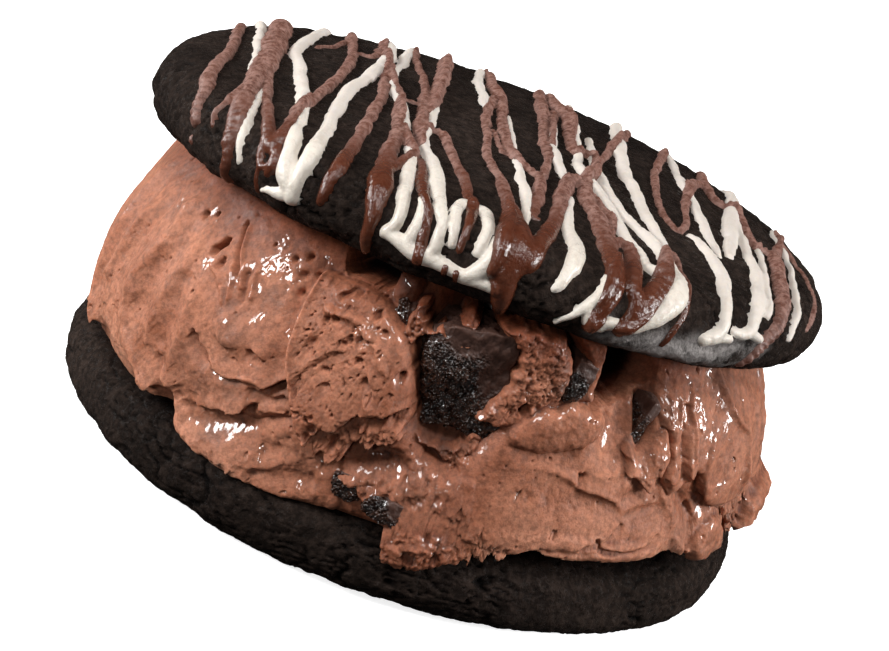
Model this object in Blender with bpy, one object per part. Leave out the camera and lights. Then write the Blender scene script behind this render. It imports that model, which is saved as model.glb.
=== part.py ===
"""Ice cream sandwich: a lump of chocolate ice cream with brownie pieces, between two dark cocoa cookies.

Metres, +Z up. The origin is the centre of the bottom cookie's flat underside, and -Y is the front.
Azimuths are degrees round the Z axis: 0 is the front, 90 is the right (+X), 180 is the back.
"""

import math

import bmesh
import bpy
from mathutils import Matrix, Vector, noise

MM = 0.001
GAP = 0.35 * MM  # air left between touching layers
POCKET_GAP = 0.5 * MM  # air left round each brownie piece

# Cookies
COOKIE_RADIUS = 45.0 * MM
BOTTOM_THICKNESS = 9.5 * MM
TOP_RADIUS = 44.7 * MM
TOP_THICKNESS = 8.9 * MM
TOP_DOME = 2.5 * MM  # rise of the top cookie's middle over its shoulder
TOP_BOW = 1.55 * MM  # how far the top cookie's left and right ends hang down
TOP_UNEVEN = 0.5 * MM  # waver of its upper face
TOP_CENTRE = Vector((0.0, 1.3, 36.0)) * MM  # middle of the top cookie's underside
TOP_LEAN_BACK = math.radians(-3.9)  # its far edge sits lower than its near edge
TOP_LEAN_SIDE = math.radians(1.1)
SHOULDER_WIDTH = 5.0 * MM
SHOULDER_DROP = 4.4 * MM
FOOT_WIDTH = 4.3 * MM
FOOT_RISE = 3.6 * MM
RIM_WOBBLE = 0.35 * MM
COOKIE_STEPS = 64
PROFILE_STEPS = 4  # facets in each rounded corner

# Ice cream
BODY_RADIUS = 43.4 * MM  # at its belly
BELLY = 0.33  # share of its height at which it is widest
TOP_TAPER = 16.0 * MM  # how fast it narrows above the belly, per squared share of height
FOOT_TAPER = 8.0 * MM  # the same below the belly
BODY_SEGMENTS = 104
BODY_RINGS = 28
CAP_SHARE = 0.26  # share of the rings that make each flat end
EDGE_ROUND = 0.10  # rounded share of its height at each end
EDGE_INSET = 1.2 * MM
SOFT_LUMP = 0.6 * MM
FLOOR_MARGIN = 1.4 * MM  # keeps its floor clear of the bottom cookie's sloping shoulder
MM_PER_DEGREE = BODY_RADIUS * math.pi / 180

COLOURS = {
    "cookie": (0.016, 0.012, 0.011),
    "ice_cream": (0.46, 0.20, 0.13),
    "brownie": (0.020, 0.009, 0.006),
}
ROUGHNESS = {"cookie": 0.85, "ice_cream": 0.40, "brownie": 0.55}

# Lobes and hollows of the ice cream: azimuth, height, half width and half height in mm,
# how far it stands out (or in, if negative) in mm, and how steep its sides are.
LOBES = {
    "left_bulge": (-56, 21.0, 20.0, 9.0, 1.6, 1.2),
    "lower_left_notch": (-41, 10.5, 2.6, 2.6, -3.6, 1.4),
    "lower_left_tongue": (-24, 10.8, 12.0, 2.4, 1.6, 1.5),
    "left_crease": (-33, 19.6, 6.5, 1.3, -1.6, 1.3),
    "scooped_lobe": (-9.5, 26.0, 8.4, 8.2, 2.8, 2.2),
    "lobe_ledge": (-5.5, 18.6, 5.0, 2.2, 1.8, 1.5),
    "under_ledge": (-6.0, 15.4, 5.0, 1.8, -1.8, 1.4),
    "gap_left": (-12.5, 38.0, 6.5, 3.2, -7.0, 2.0),
    "brownie_hollow": (7.5, 32.0, 6.4, 9.2, -4.6, 2.2),
    "crumbly_lobe": (20.0, 31.0, 5.0, 5.0, 0.8, 1.6),
    "gap_right": (37.0, 36.5, 8.0, 4.4, -8.0, 1.8),
    "tongue": (23.5, 26.6, 6.5, 2.4, 2.6, 1.4),
    "under_tongue": (22.0, 23.0, 7.0, 1.4, -1.2, 1.3),
    "swirl_groove": (36.5, 28.0, 2.4, 6.0, -3.0, 1.2),
    "swirl_knob": (42.0, 24.4, 3.2, 2.2, 2.0, 1.4),
    "right_mass": (62, 27.5, 14.0, 6.5, 2.2, 1.5),
    "lower_fold": (38, 14.8, 20.0, 3.6, 2.0, 1.4),
    "under_fold": (42, 9.3, 20.0, 1.7, -3.0, 1.4),
    "lower_crumbs": (8.0, 11.5, 5.5, 3.4, 2.6, 1.4),
    "right_end_knob": (66, 18.0, 4.4, 3.2, 1.4, 1.4),
    "right_edge_nub": (84, 18.0, 3.0, 1.9, 2.4, 1.3),
    "right_edge_low": (82, 13.0, 4.6, 2.6, 1.6, 1.3),
    "left_edge_nub": (-84, 9.9, 2.6, 1.6, 1.2, 1.3),
    "back_scoop": (155, 22.0, 20.0, 8.0, 1.8, 1.2),
    "back_fold": (-148, 14.0, 18.0, 3.2, 1.8, 1.4),
    "back_groove": (-160, 19.0, 16.0, 1.8, -1.8, 1.3),
    "back_hollow": (128, 31.0, 8.0, 3.6, -3.0, 1.4),
    "back_right_fold": (118, 15.0, 12.0, 3.6, 1.6, 1.4),
    "back_left_hollow": (-120, 29.0, 9.0, 3.4, -2.2, 1.4),
}

# Brownie pieces: azimuth, distance from the axis, height, size (across, outwards, up) in mm, turn in degrees.
BROWNIES = {
    "brownie_centre": (7.6, 34.8, 29.0, (10.6, 9.0, 14.6), -12),
    "brownie_upper": (-7.4, 37.4, 33.4, (3.8, 4.6, 3.2), 20),
    "brownie_beside_lobe": (25.7, 38.4, 32.6, (3.6, 5.0, 5.6), 12),
    "brownie_in_swirl": (42.0, 38.8, 29.6, (3.2, 5.0, 6.6), 20),
    "brownie_low_left": (-4.8, 41.4, 12.9, (3.4, 4.6, 3.2), -10),
    "brownie_low_right": (2.4, 42.4, 12.4, (4.0, 4.6, 3.0), 8),
}


def clear_scene():
    for item in list(bpy.data.objects):
        bpy.data.objects.remove(item)


def new_collection(name):
    made = bpy.data.collections.new(name)
    bpy.context.scene.collection.children.link(made)
    return made


def material(kind):
    made = bpy.data.materials.get(kind) or bpy.data.materials.new(kind)
    made.use_nodes = True
    shader = made.node_tree.nodes["Principled BSDF"]
    shader.inputs["Base Color"].default_value = (*COLOURS[kind], 1)
    shader.inputs["Roughness"].default_value = ROUGHNESS[kind]
    shader.inputs["Metallic"].default_value = 0
    return made


def object_from(shape, name, kind, collection):
    """Ends a bmesh and returns its object, shaded smooth."""
    bmesh.ops.recalc_face_normals(shape, faces=shape.faces)
    bmesh.ops.triangulate(shape, faces=shape.faces)
    mesh = bpy.data.meshes.new(name)
    shape.to_mesh(mesh)
    shape.free()
    mesh.shade_smooth()
    mesh.materials.append(material(kind))
    made = bpy.data.objects.new(name, mesh)
    collection.objects.link(made)
    return made


def corner(centre_r, centre_z, width, height, start, end):
    """Points along a quarter of an ellipse, from one angle to another."""
    steps = [math.radians(start + (end - start) * i / PROFILE_STEPS) for i in range(PROFILE_STEPS + 1)]
    return [(centre_r + width * math.cos(a), centre_z + height * math.sin(a)) for a in steps]


def cookie_profile(radius, thickness, dome):
    """Half section of a cookie, from the middle of its top to the middle of its underside."""
    inner = radius - SHOULDER_WIDTH
    shares = (0, 0.25, 0.5, 0.75)
    points = [(inner * s, thickness + dome * (1 - s * s)) for s in shares]
    points += corner(inner, thickness - SHOULDER_DROP, SHOULDER_WIDTH, SHOULDER_DROP, 90, 0)
    points += corner(radius - FOOT_WIDTH, FOOT_RISE, FOOT_WIDTH, FOOT_RISE, 0, -90)
    points.append((0, 0))
    return points


def cookie(name, collection, radius, thickness, dome, bow, uneven, seed):
    """A turned cookie with a wavering rim. Its underside is flat unless it is bowed."""
    shape = bmesh.new()
    line = [shape.verts.new((r, 0, z)) for r, z in cookie_profile(radius, thickness, dome)]
    edges = [shape.edges.new(pair) for pair in zip(line, line[1:])]
    bmesh.ops.spin(
        shape, geom=line + edges, angle=math.tau, steps=COOKIE_STEPS, axis=(0, 0, 1), use_merge=True
    )
    bmesh.ops.remove_doubles(shape, verts=shape.verts, dist=0.01 * MM)
    for vert in shape.verts:
        reach = Vector((vert.co.x, vert.co.y)).length / radius
        outwards = Vector((vert.co.x, vert.co.y, 0)).normalized()
        wobble = noise.noise(outwards * 1.7 + Vector((seed, 0, 0)))
        vert.co += outwards * wobble * RIM_WOBBLE * 2 * reach**4
        if vert.co.z > thickness * 0.6:
            vert.co.z += uneven * noise.noise(vert.co / (18 * MM) + Vector((0, seed, 0)))
        vert.co.z -= bow * (vert.co.x / radius) ** 2
    return object_from(shape, name, "cookie", collection)


def top_matrix():
    """Where the top cookie lies."""
    lean = Matrix.Rotation(TOP_LEAN_SIDE, 4, "Y") @ Matrix.Rotation(TOP_LEAN_BACK, 4, "X")
    return Matrix.Translation(TOP_CENTRE) @ lean


def ceiling(x, y):
    """Height of the top cookie's underside over a point, near enough for its small lean."""
    height = TOP_CENTRE.z + (y - TOP_CENTRE.y) * math.tan(TOP_LEAN_BACK) - x * math.tan(TOP_LEAN_SIDE)
    return height - TOP_BOW * (x / TOP_RADIUS) ** 2


def cookie_top(reach):
    """Height of the bottom cookie's upper face at a distance from the axis."""
    past = (reach - FLOOR_MARGIN - (COOKIE_RADIUS - SHOULDER_WIDTH)) / SHOULDER_WIDTH
    if past <= 0:
        return BOTTOM_THICKNESS
    return BOTTOM_THICKNESS - SHOULDER_DROP * (1 - math.sqrt(max(0.0, 1 - min(past, 1) ** 2)))


def lobe_sum(azimuth, height):
    """How far the lobes and hollows move the surface at a place, in metres."""
    total = 0.0
    for at, up, wide, tall, out, steep in LOBES.values():
        across = ((azimuth - at + 180) % 360 - 180) * MM_PER_DEGREE / (wide * MM)
        along = (height / MM - up) / tall
        total += out * MM * math.exp(-((across * across + along * along) ** steep))
    return total


def ice_cream_point(azimuth, level):
    """A point of the ice cream: level runs from -1, the middle of its floor, to 1, the middle of its top."""
    side = 1 - CAP_SHARE
    share = min(max((level / side + 1) / 2, 0.0), 1.0)
    outwards = Vector((math.sin(math.radians(azimuth)), -math.cos(math.radians(azimuth)), 0))
    bottom = BOTTOM_THICKNESS
    top = ceiling(outwards.x * BODY_RADIUS, outwards.y * BODY_RADIUS)
    height = bottom + (top - bottom) * share
    edge = max(0.0, 1 - min(share, 1 - share) / EDGE_ROUND)
    taper = TOP_TAPER if share > BELLY else FOOT_TAPER
    reach = BODY_RADIUS - taper * (share - BELLY) ** 2 + lobe_sum(azimuth, height)
    reach -= EDGE_INSET * (1 - math.sqrt(1 - min(edge, 0.999) ** 2))
    reach += SOFT_LUMP * noise.noise(outwards * 2.6 + Vector((0, 0, height / (9 * MM))))
    if abs(level) > side:
        reach *= (1 - abs(level)) / CAP_SHARE
    place = outwards * reach
    low = cookie_top(reach) + GAP
    high = ceiling(place.x, place.y) - GAP
    place.z = low + (high - low) * share
    return place


def ice_cream(collection):
    """A ball whose rings are moved to the floor, side and top of the filling."""
    shape = bmesh.new()
    bmesh.ops.create_uvsphere(shape, u_segments=BODY_SEGMENTS, v_segments=BODY_RINGS, radius=1)
    for vert in shape.verts:
        azimuth = math.degrees(math.atan2(vert.co.x, -vert.co.y))
        level = math.asin(max(-1.0, min(1.0, vert.co.z))) / (math.pi / 2)
        vert.co = ice_cream_point(azimuth, level)
    return object_from(shape, "ice_cream", "ice_cream", collection)


def brownie(name, collection, grow=0.0):
    """A broken piece of brownie: a bevelled block with uneven faces. grow makes it larger all round."""
    azimuth, reach, height, size, turn = BROWNIES[name]
    shape = bmesh.new()
    bmesh.ops.create_cube(shape, size=1)
    bmesh.ops.subdivide_edges(shape, edges=shape.edges, cuts=2, use_grid_fill=True)
    seed = Vector((azimuth, reach, height)) * 0.37
    for vert in shape.verts:
        rounder = vert.co.normalized() * 0.62
        vert.co = vert.co.lerp(rounder, 0.45)
        vert.co *= 1 + 0.28 * noise.noise(vert.co * 3.1 + seed)
        vert.co = Vector(a * b * MM for a, b in zip(vert.co, size))
    bmesh.ops.triangulate(shape, faces=shape.faces)
    shape.normal_update()
    for vert, normal in [(vert, vert.normal.copy()) for vert in shape.verts]:
        vert.co += normal * grow
    angle = math.radians(azimuth)
    place = Vector((reach * math.sin(angle), -reach * math.cos(angle), height)) * MM
    tilt = Matrix.Rotation(math.radians(turn), 4, "Y")
    bmesh.ops.transform(
        shape, matrix=Matrix.Translation(place) @ Matrix.Rotation(angle, 4, "Z") @ tilt, verts=shape.verts
    )
    return object_from(shape, name if not grow else name + "_pocket", "brownie", collection)


def cut(target, cutter):
    made = target.modifiers.new(cutter.name, "BOOLEAN")
    made.operation = "DIFFERENCE"
    made.object = cutter
    cutter.hide_render = True
    cutter.display_type = "WIRE"


def main():
    clear_scene()
    parts = new_collection("ice_cream_sandwich")
    cutters = new_collection("cutters")
    cookie("bottom_cookie", parts, COOKIE_RADIUS, BOTTOM_THICKNESS, 0.0, 0.0, 0.0, 3.0)
    top = cookie("top_cookie", parts, TOP_RADIUS, TOP_THICKNESS, TOP_DOME, TOP_BOW, TOP_UNEVEN, 11.0)
    top.matrix_world = top_matrix()
    filling = ice_cream(parts)
    for name in BROWNIES:
        brownie(name, parts)
        cut(filling, brownie(name, cutters, grow=POCKET_GAP))


main()
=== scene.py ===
import math

import bmesh
import bpy
import numpy as np
from mathutils import Matrix, Vector


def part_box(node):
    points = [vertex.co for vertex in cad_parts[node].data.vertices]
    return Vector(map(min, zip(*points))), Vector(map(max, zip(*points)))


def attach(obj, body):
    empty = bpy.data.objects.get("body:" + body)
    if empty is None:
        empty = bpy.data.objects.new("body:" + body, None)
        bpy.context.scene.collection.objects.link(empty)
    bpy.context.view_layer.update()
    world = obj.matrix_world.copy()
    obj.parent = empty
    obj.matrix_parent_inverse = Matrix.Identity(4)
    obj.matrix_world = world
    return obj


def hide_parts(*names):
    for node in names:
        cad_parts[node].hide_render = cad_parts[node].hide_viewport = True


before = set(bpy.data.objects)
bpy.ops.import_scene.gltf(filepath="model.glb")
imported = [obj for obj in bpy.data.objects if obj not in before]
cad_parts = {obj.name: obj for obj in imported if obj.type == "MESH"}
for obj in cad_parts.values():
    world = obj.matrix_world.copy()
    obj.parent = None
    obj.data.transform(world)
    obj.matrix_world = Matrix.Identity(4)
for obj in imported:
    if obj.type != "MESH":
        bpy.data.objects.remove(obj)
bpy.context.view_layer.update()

mm = 0.001
middle = (0, 0, 0.022)
floorLow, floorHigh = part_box("bottom_cookie")
cookieRadius = (floorHigh.x - floorLow.x) / 2 / mm
cookieThickness = floorHigh.z / mm


# steady noise on arrays of points, in mm
latticeSide = 64
lattice = np.random.default_rng(20).random((latticeSide**3, 4)).astype(np.float32)
# fine patterns are turned, so that they show no lines along the axes
fineTurn = np.array(
    Matrix.Rotation(0.6, 3, "Z") @ Matrix.Rotation(0.7, 3, "X") @ Matrix.Rotation(0.5, 3, "Y"))


def latticeAt(cell):
    # four steady numbers from 0 to 1 for each whole-number cell
    i, j, k = (cell & (latticeSide - 1)).T
    return lattice[(i * latticeSide + j) * latticeSide + k]


def cellsOf(q):
    # the whole-number cell that each point lies in, and its place in the cell
    base = np.floor(q).astype(np.int64)
    return base, (q - base).astype(np.float32)


def softNoise(p, size, seed=0):
    # smooth lumps of about the given size, from about -1 to 1
    base, f = cellsOf(p / size + seed * 7.31)
    w = f * f * f * (f * (f * 6 - 15) + 10)
    total = np.zeros(len(p), np.float32)
    for corner in range(8):
        step = np.array((corner & 1, corner >> 1 & 1, corner >> 2))
        slope = latticeAt(base + step)[:, :3] * 2 - 1
        side = np.where(step, w, 1 - w)
        lean = np.einsum("ij,ij->i", slope, f - step.astype(np.float32))
        total += lean * side[:, 0] * side[:, 1] * side[:, 2]
    return total * 1.5


def noises(p, size, seeds):
    # one column of noise for each seed
    return np.stack([softNoise(p, size, seed) for seed in seeds], axis=1)


def fractal(p, size, octaves, seed=0):
    total = np.zeros(len(p))
    for n in range(octaves):
        total += 0.5**n * softNoise(p, size / 2**n, seed + n * 17)
    return total


def cellPattern(p, size, seed=0):
    # distance to the nearest scattered point, and that point's own number
    base, f = cellsOf(p / size + seed * 3.17)
    near = np.full(len(p), 81, np.float32)
    own = np.zeros(len(p), np.float32)
    for corner in range(27):
        step = np.array((corner % 3 - 1, corner // 3 % 3 - 1, corner // 9 - 1))
        numbers = latticeAt(base + step)
        away = (step + 0.1).astype(np.float32) + 0.8 * numbers[:, :3] - f
        d = np.einsum("ij,ij->i", away, away)
        closer = d < near
        own = np.where(closer, numbers[:, 3], own)
        near = np.minimum(near, d)
    return np.sqrt(near), own


def ramp(x, low, high):
    t = np.clip((x - low) / (high - low), 0, 1)
    return t * t * (3 - 2 * t)


def smoothMax(a, b, k):
    return 0.5 * (a + b + np.sqrt((a - b) ** 2 + k * k))


def smoothPath(numbers, steps, closed=False, columns=2):
    # a smooth curve through points whose numbers are listed one after another
    p = np.array(numbers, float).reshape(-1, columns)
    n = len(p)
    ends = n if closed else n - 1
    out = []
    for i in range(ends):
        near = np.arange(i - 1, i + 3)
        a, b, c, d = p[near % n if closed else np.clip(near, 0, n - 1)]
        for t in np.arange(steps) / steps:
            bend = (2 * a - 5 * b + 4 * c - d) * t**2 + (3 * b - a - 3 * c + d) * t**3
            out.append(0.5 * (2 * b + (c - a) * t + bend))
    if not closed:
        out.append(p[-1])
    return np.array(out)


def pathDistance(u, v, path, closed=False):
    # distance to a path and how far along it the nearest point lies, in points of the path
    best = np.full(len(u), 1e9)
    along = np.zeros(len(u))
    count = len(path) if closed else len(path) - 1
    for i in range(count):
        a = path[i]
        b = path[(i + 1) % len(path)]
        e = b - a
        t = np.clip(((u - a[0]) * e[0] + (v - a[1]) * e[1]) / max(e @ e, 1e-12), 0, 1)
        d = (u - a[0] - t * e[0]) ** 2 + (v - a[1] - t * e[1]) ** 2
        closer = d < best
        best = np.where(closer, d, best)
        along = np.where(closer, i + t, along)
    return np.sqrt(best), along


def insideDistance(u, v, outline, margin=3.0):
    # positive inside a closed outline, and no less than minus the margin
    low, high = outline.min(axis=0) - margin, outline.max(axis=0) + margin
    close = (u > low[0]) & (u < high[0]) & (v > low[1]) & (v < high[1])
    result = np.full(len(u), -margin)
    u, v = u[close], v[close]
    d, _ = pathDistance(u, v, outline, closed=True)
    inside = np.zeros(len(u), bool)
    for i in range(len(outline)):
        a = outline[i]
        b = outline[(i + 1) % len(outline)]
        if a[1] == b[1]:
            continue
        crosses = (a[1] > v) != (b[1] > v)
        inside ^= crosses & (u < (b[0] - a[0]) * (v - a[1]) / (b[1] - a[1]) + a[0])
    result[close] = np.where(inside, d, -np.minimum(d, margin))
    return result


def setInputs(tree, node, values):
    # links each value that is a socket, and sets the others
    for key, value in values.items():
        if isinstance(value, bpy.types.NodeSocket):
            tree.links.new(value, node.inputs[key])
        elif node.inputs[key].type == "RGBA":
            node.inputs[key].default_value = (*value, 1)
        else:
            node.inputs[key].default_value = value


def addNode(tree, kind, values, **settings):
    made = tree.nodes.new(kind)
    for key, value in settings.items():
        setattr(made, key, value)
    setInputs(tree, made, values)
    return made


def newMaterial(name):
    made = bpy.data.materials.new(name)
    made.use_nodes = True
    tree = made.node_tree
    place = addNode(tree, "ShaderNodeTexCoord", {}).outputs["Object"]
    turned = addNode(tree, "ShaderNodeMapping", {"Vector": place, "Rotation": (0.6, 0.7, 0.5)})
    return made, tree, tree.nodes["Principled BSDF"], turned.outputs["Vector"]


def noiseNode(tree, place, size, detail=3.0, roughness=0.55):
    # the size is the lump size in mm
    values = {"Vector": place, "Scale": 0.5 / (size * mm), "Detail": detail, "Roughness": roughness}
    return addNode(tree, "ShaderNodeTexNoise", values).outputs["Fac"]


def rampNode(tree, value, stops):
    made = addNode(tree, "ShaderNodeValToRGB", {"Fac": value})
    elements = made.color_ramp.elements
    for n, (at, colour) in enumerate(stops):
        spot = elements[n] if n < 2 else elements.new(at)
        spot.position = at
        spot.color = (*colour, 1) if isinstance(colour, tuple) else (colour, colour, colour, 1)
    return made.outputs["Color"]


def mathNode(tree, operation, *values, clamped=False):
    made = addNode(tree, "ShaderNodeMath", dict(enumerate(values)), operation=operation, use_clamp=clamped)
    return made.outputs[0]


def mixColour(tree, factor, a, b, blend="MIX"):
    values = {0: factor, 6: a, 7: b}
    return addNode(tree, "ShaderNodeMix", values, data_type="RGBA", blend_type=blend).outputs[2]


def attributeNode(tree, name):
    return addNode(tree, "ShaderNodeAttribute", {}, attribute_name=name).outputs["Fac"]


def bumpNode(tree, height, distance, strength, normal=None):
    values = {"Height": height, "Distance": distance * mm, "Strength": strength}
    if normal:
        values["Normal"] = normal
    return addNode(tree, "ShaderNodeBump", values).outputs["Normal"]


def setPoints(mesh, p):
    mesh.vertices.foreach_set("co", (p * mm).astype(np.float32).ravel())
    mesh.update()


def pointsOf(mesh):
    co = np.zeros(len(mesh.vertices) * 3, np.float32)
    mesh.vertices.foreach_get("co", co)
    return co.reshape(-1, 3).astype(float)


def addAttribute(mesh, name, values):
    made = mesh.attributes.new(name, "FLOAT", "POINT")
    made.data.foreach_set("value", np.asarray(values, np.float32))


def pieceFrom(mesh, name, material, nodes=()):
    mesh.shade_smooth()
    mesh.materials.clear()
    mesh.materials.append(material)
    piece = bpy.data.objects.new(name, mesh)
    bpy.context.scene.collection.objects.link(piece)
    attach(piece, "root")
    if nodes:
        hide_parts(*nodes)
    print(name, len(mesh.vertices), "points")


def gridShape(columns, rows, size=1):
    shape = bmesh.new()
    bmesh.ops.create_grid(shape, x_segments=columns, y_segments=rows, size=size)
    return shape


def meshOf(shape, name):
    mesh = bpy.data.meshes.new(name)
    shape.to_mesh(mesh)
    shape.free()
    return mesh


def ballMesh(name, columns, rings):
    # a ball and, for each of its points, how far round it lies (0 at the front) and its level, from -1 to 1
    shape = gridShape(columns, rings)
    for vert in shape.verts:
        a, e = vert.co.x * math.pi, vert.co.y * math.pi / 2
        vert.co = (math.sin(a) * math.cos(e), -math.cos(a) * math.cos(e), math.sin(e))
    bmesh.ops.remove_doubles(shape, verts=shape.verts, dist=1e-6)
    mesh = meshOf(shape, name)
    co = pointsOf(mesh)
    azimuth = np.degrees(np.arctan2(co[:, 0], -co[:, 1]))
    level = np.arcsin(np.clip(co[:, 2], -1, 1)) / (math.pi / 2)
    return mesh, azimuth, level


def crowd(azimuth, stops):
    # moves evenly spaced columns to where the stops say: (share of the columns, azimuth)
    shares, places = zip(*stops)
    return np.interp((azimuth + 180) / 360, shares, places)


# sizes in mm and angles in degrees from here on
topCookie = {
    "radius": 44.7, "thickness": 8.9, "dome": 2.5, "bow": 1.55,
    "centre": (0.0, 1.3, 36.0), "leanBack": -3.9, "leanSide": 1.1,
    "columns": 620, "rings": 150,
}
bottomCookie = {
    "radius": cookieRadius, "thickness": cookieThickness, "dome": 0.0, "bow": 0.0,
    "columns": 620, "rings": 130,
}
shoulderWidth, shoulderDrop = 5.0, 4.4
footWidth, footRise = 4.3, 3.6
frontColumns = ((0, -180), (0.13, -100), (0.87, 100), (1, 180))

lean = Matrix.Rotation(math.radians(topCookie["leanSide"]), 3, "Y") @ Matrix.Rotation(
    math.radians(topCookie["leanBack"]), 3, "X")
topTurn = np.array(lean)
topCentre = np.array(topCookie["centre"])


def profileLengths(c):
    # lengths of the flat top, shoulder, side, foot and underside, measured along the half section
    flat = c["radius"] - shoulderWidth
    shoulder = math.pi / 4 * (shoulderWidth + shoulderDrop)
    side = c["thickness"] - shoulderDrop - footRise
    foot = math.pi / 4 * (footWidth + footRise)
    return flat, shoulder, side, foot, c["radius"] - footWidth


def onProfile(c, s):
    # radius, height and outward direction at a distance s along the half section, from the middle of the top
    flat, shoulder, side, foot, _ = profileLengths(c)
    a = np.clip((s - flat) / shoulder, 0, 1) * math.pi / 2
    b = np.clip((s - flat - shoulder - side) / foot, 0, 1) * math.pi / 2
    r = np.minimum(s, flat) + shoulderWidth * np.sin(a)
    r = r - footWidth * (1 - np.cos(b)) - np.maximum(s - flat - shoulder - side - foot, 0)
    z = c["thickness"] - shoulderDrop * (1 - np.cos(a)) - np.clip(s - flat - shoulder, 0, side)
    z = z - footRise * np.sin(b) + c["dome"] * (1 - np.minimum(r / flat, 1) ** 2) * (s <= flat + 0.001)
    out = np.where(s < flat + shoulder, np.sin(a), np.cos(b))
    up = np.where(s < flat + shoulder, np.cos(a), -np.sin(b))
    return r, z, out, up


def cookiePlace(c, azimuth, s, lift):
    # a place on a cookie at an azimuth and a distance along the section, raised off its surface by lift
    r, z, out, up = onProfile(c, s)
    r = r + out * lift
    z = z + up * lift
    angle = np.radians(azimuth)
    x = r * np.sin(angle)
    y = -r * np.cos(angle)
    z = z - c["bow"] * (x / c["radius"]) ** 2
    return np.stack([x, y, z], axis=1)


def placeTop(p):
    return p @ topTurn.T + topCentre


def cookieWaver(p, seed):
    waver = 0.35 * softNoise(p, 17, seed) + 0.30 * softNoise(p, 7, seed + 1)
    return waver + 0.20 * softNoise(p, 3.6, seed + 2)


def cookieRelief(azimuth, s, c, seed):
    # crumb, pits, cracks and slow waver of a baked cookie's skin, in mm, and how deep each place lies
    flat, shoulder, side, foot, _ = profileLengths(c)
    footStart = flat + shoulder + side
    p = cookiePlace(c, azimuth, s, 0)
    rim = ramp(s, flat - 3, flat + 3) * (1 - ramp(s, footStart + foot * 0.6, footStart + foot))
    slow = cookieWaver(p, seed)
    lumps = 0.13 * fractal(p, 3.2, 3, seed + 2)
    near, own = cellPattern(p + 0.5 * noises(p, 1.5, range(seed + 5, seed + 8)), 1.5, seed)
    tiny, _ = cellPattern(p, 0.75, seed + 9)
    crumb = (0.16 * (0.55 - near) + 0.10 * (0.5 - tiny)) * (0.4 + 0.6 * rim)
    pits = -0.32 * ramp(own, 0.86, 0.95) * (1 - ramp(near, 0.12, 0.42))
    squashed = p * (1, 1, 2.4) + 2.2 * noises(p, 4, range(seed + 11, seed + 14))
    vein = np.abs(softNoise(squashed, 9, seed + 20))
    cracks = -0.6 * (1 - ramp(vein, 0.0, 0.045)) * rim * ramp(softNoise(p, 12, seed + 31), -0.05, 0.25)
    squashed = p * (1, 1, 3) + 0.9 * noises(p, 1.6, range(seed + 14, seed + 17))
    vein = np.abs(softNoise(squashed, 3.4, seed + 21))
    cracks -= 0.42 * (1 - ramp(vein, 0.0, 0.09)) * rim * ramp(softNoise(p, 8, seed + 32), -0.3, 0.2)
    grain = 0.08 * fractal(p, 0.8, 2, seed + 40)
    under = ramp(s, footStart + foot * 0.8, footStart + foot)
    return (slow + lumps + crumb + pits + cracks + grain) * (1 - under), cracks + pits


def cookieMaterial():
    made, tree, skin, place = newMaterial("bakedCocoaCookie")
    deep = attributeNode(tree, "deep")
    speck = noiseNode(tree, place, 0.5, 4.0, 0.7)
    patch = noiseNode(tree, place, 9, 3.0)
    base = rampNode(tree, patch, ((0.35, (0.0125, 0.0082, 0.0064)), (0.65, (0.0240, 0.0162, 0.0128))))
    fleck = rampNode(tree, speck, ((0.43, 0.62), (0.60, 1.45)))
    base = mixColour(tree, 1.0, base, fleck, "MULTIPLY")
    # painted shade: cracks and pits darkened
    base = mixColour(tree, deep, base, (0.002, 0.0014, 0.0012))
    # painted shade on the bottom cookie's upper face, under the filling
    paintedFaceShade = rampNode(tree, attributeNode(tree, "paintedFaceShade"), ((0, 1.0), (1, (0.26, 0.18, 0.14))))
    base = mixColour(tree, 1.0, base, paintedFaceShade, "MULTIPLY")
    patchy = rampNode(tree, noiseNode(tree, place, 2.4, 5.0, 0.7), ((0.40, 0.05), (0.58, 0.95)))
    smear = mathNode(tree, "MULTIPLY", attributeNode(tree, "glaze"), patchy)
    base = mixColour(tree, smear, base, (0.36, 0.33, 0.315))
    shine = rampNode(tree, noiseNode(tree, place, 0.35, 2.0, 0.8), ((0.52, 0.95), (0.62, 0.24)))
    fine = bumpNode(tree, noiseNode(tree, place, 0.28, 4.0, 0.8), 0.26, 0.9)
    coarse = bumpNode(tree, noiseNode(tree, place, 1.0, 5.0, 0.7), 0.55, 0.9, fine)
    setInputs(tree, skin, {
        "Base Color": base, "Roughness": shine, "Specular IOR Level": 0.06, "Normal": coarse,
    })
    return made


def makeCookie(name, c, seed, material, top):
    mesh, azimuth, level = ballMesh(name, c["columns"], c["rings"])
    azimuth = crowd(azimuth, frontColumns)
    lengths = profileLengths(c)
    whole = sum(lengths)
    flat, footEnd = lengths[0], whole - lengths[4]
    # the share of the rings that lie above each distance along the section
    if top:
        s = np.interp((1 - level) / 2, (0, 0.71, 0.95, 1), (0, flat, footEnd, whole))
    else:
        s = np.interp((1 - level) / 2, (0, 0.10, 0.46, 0.94, 1), (0, flat - 12, flat, footEnd, whole))
    relief, deep = cookieRelief(azimuth, s, c, seed)
    p = cookiePlace(c, azimuth, s, relief)
    if top:
        p = placeTop(p)
    setPoints(mesh, p)
    # how deep the cracks and pits lie, for their painted shade
    addAttribute(mesh, "deep", np.clip(-deep * 2.2, 0, 1))
    if top:
        across, back = s * np.sin(np.radians(azimuth)), -s * np.cos(np.radians(azimuth))
        inside = insideDistance(across, back, smoothPath(glazeSmear, 3, closed=True))
        addAttribute(mesh, "glaze", 0.9 * ramp(inside, -1.8, 1.8))
    else:
        # painted shade: the upper face, under the filling, is darkened
        addAttribute(mesh, "paintedFaceShade", 1 - ramp(s, flat + 0.5, flat + 4.5))
    pieceFrom(mesh, name, material, [name.replace("Cookie", "_cookie")])


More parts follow.
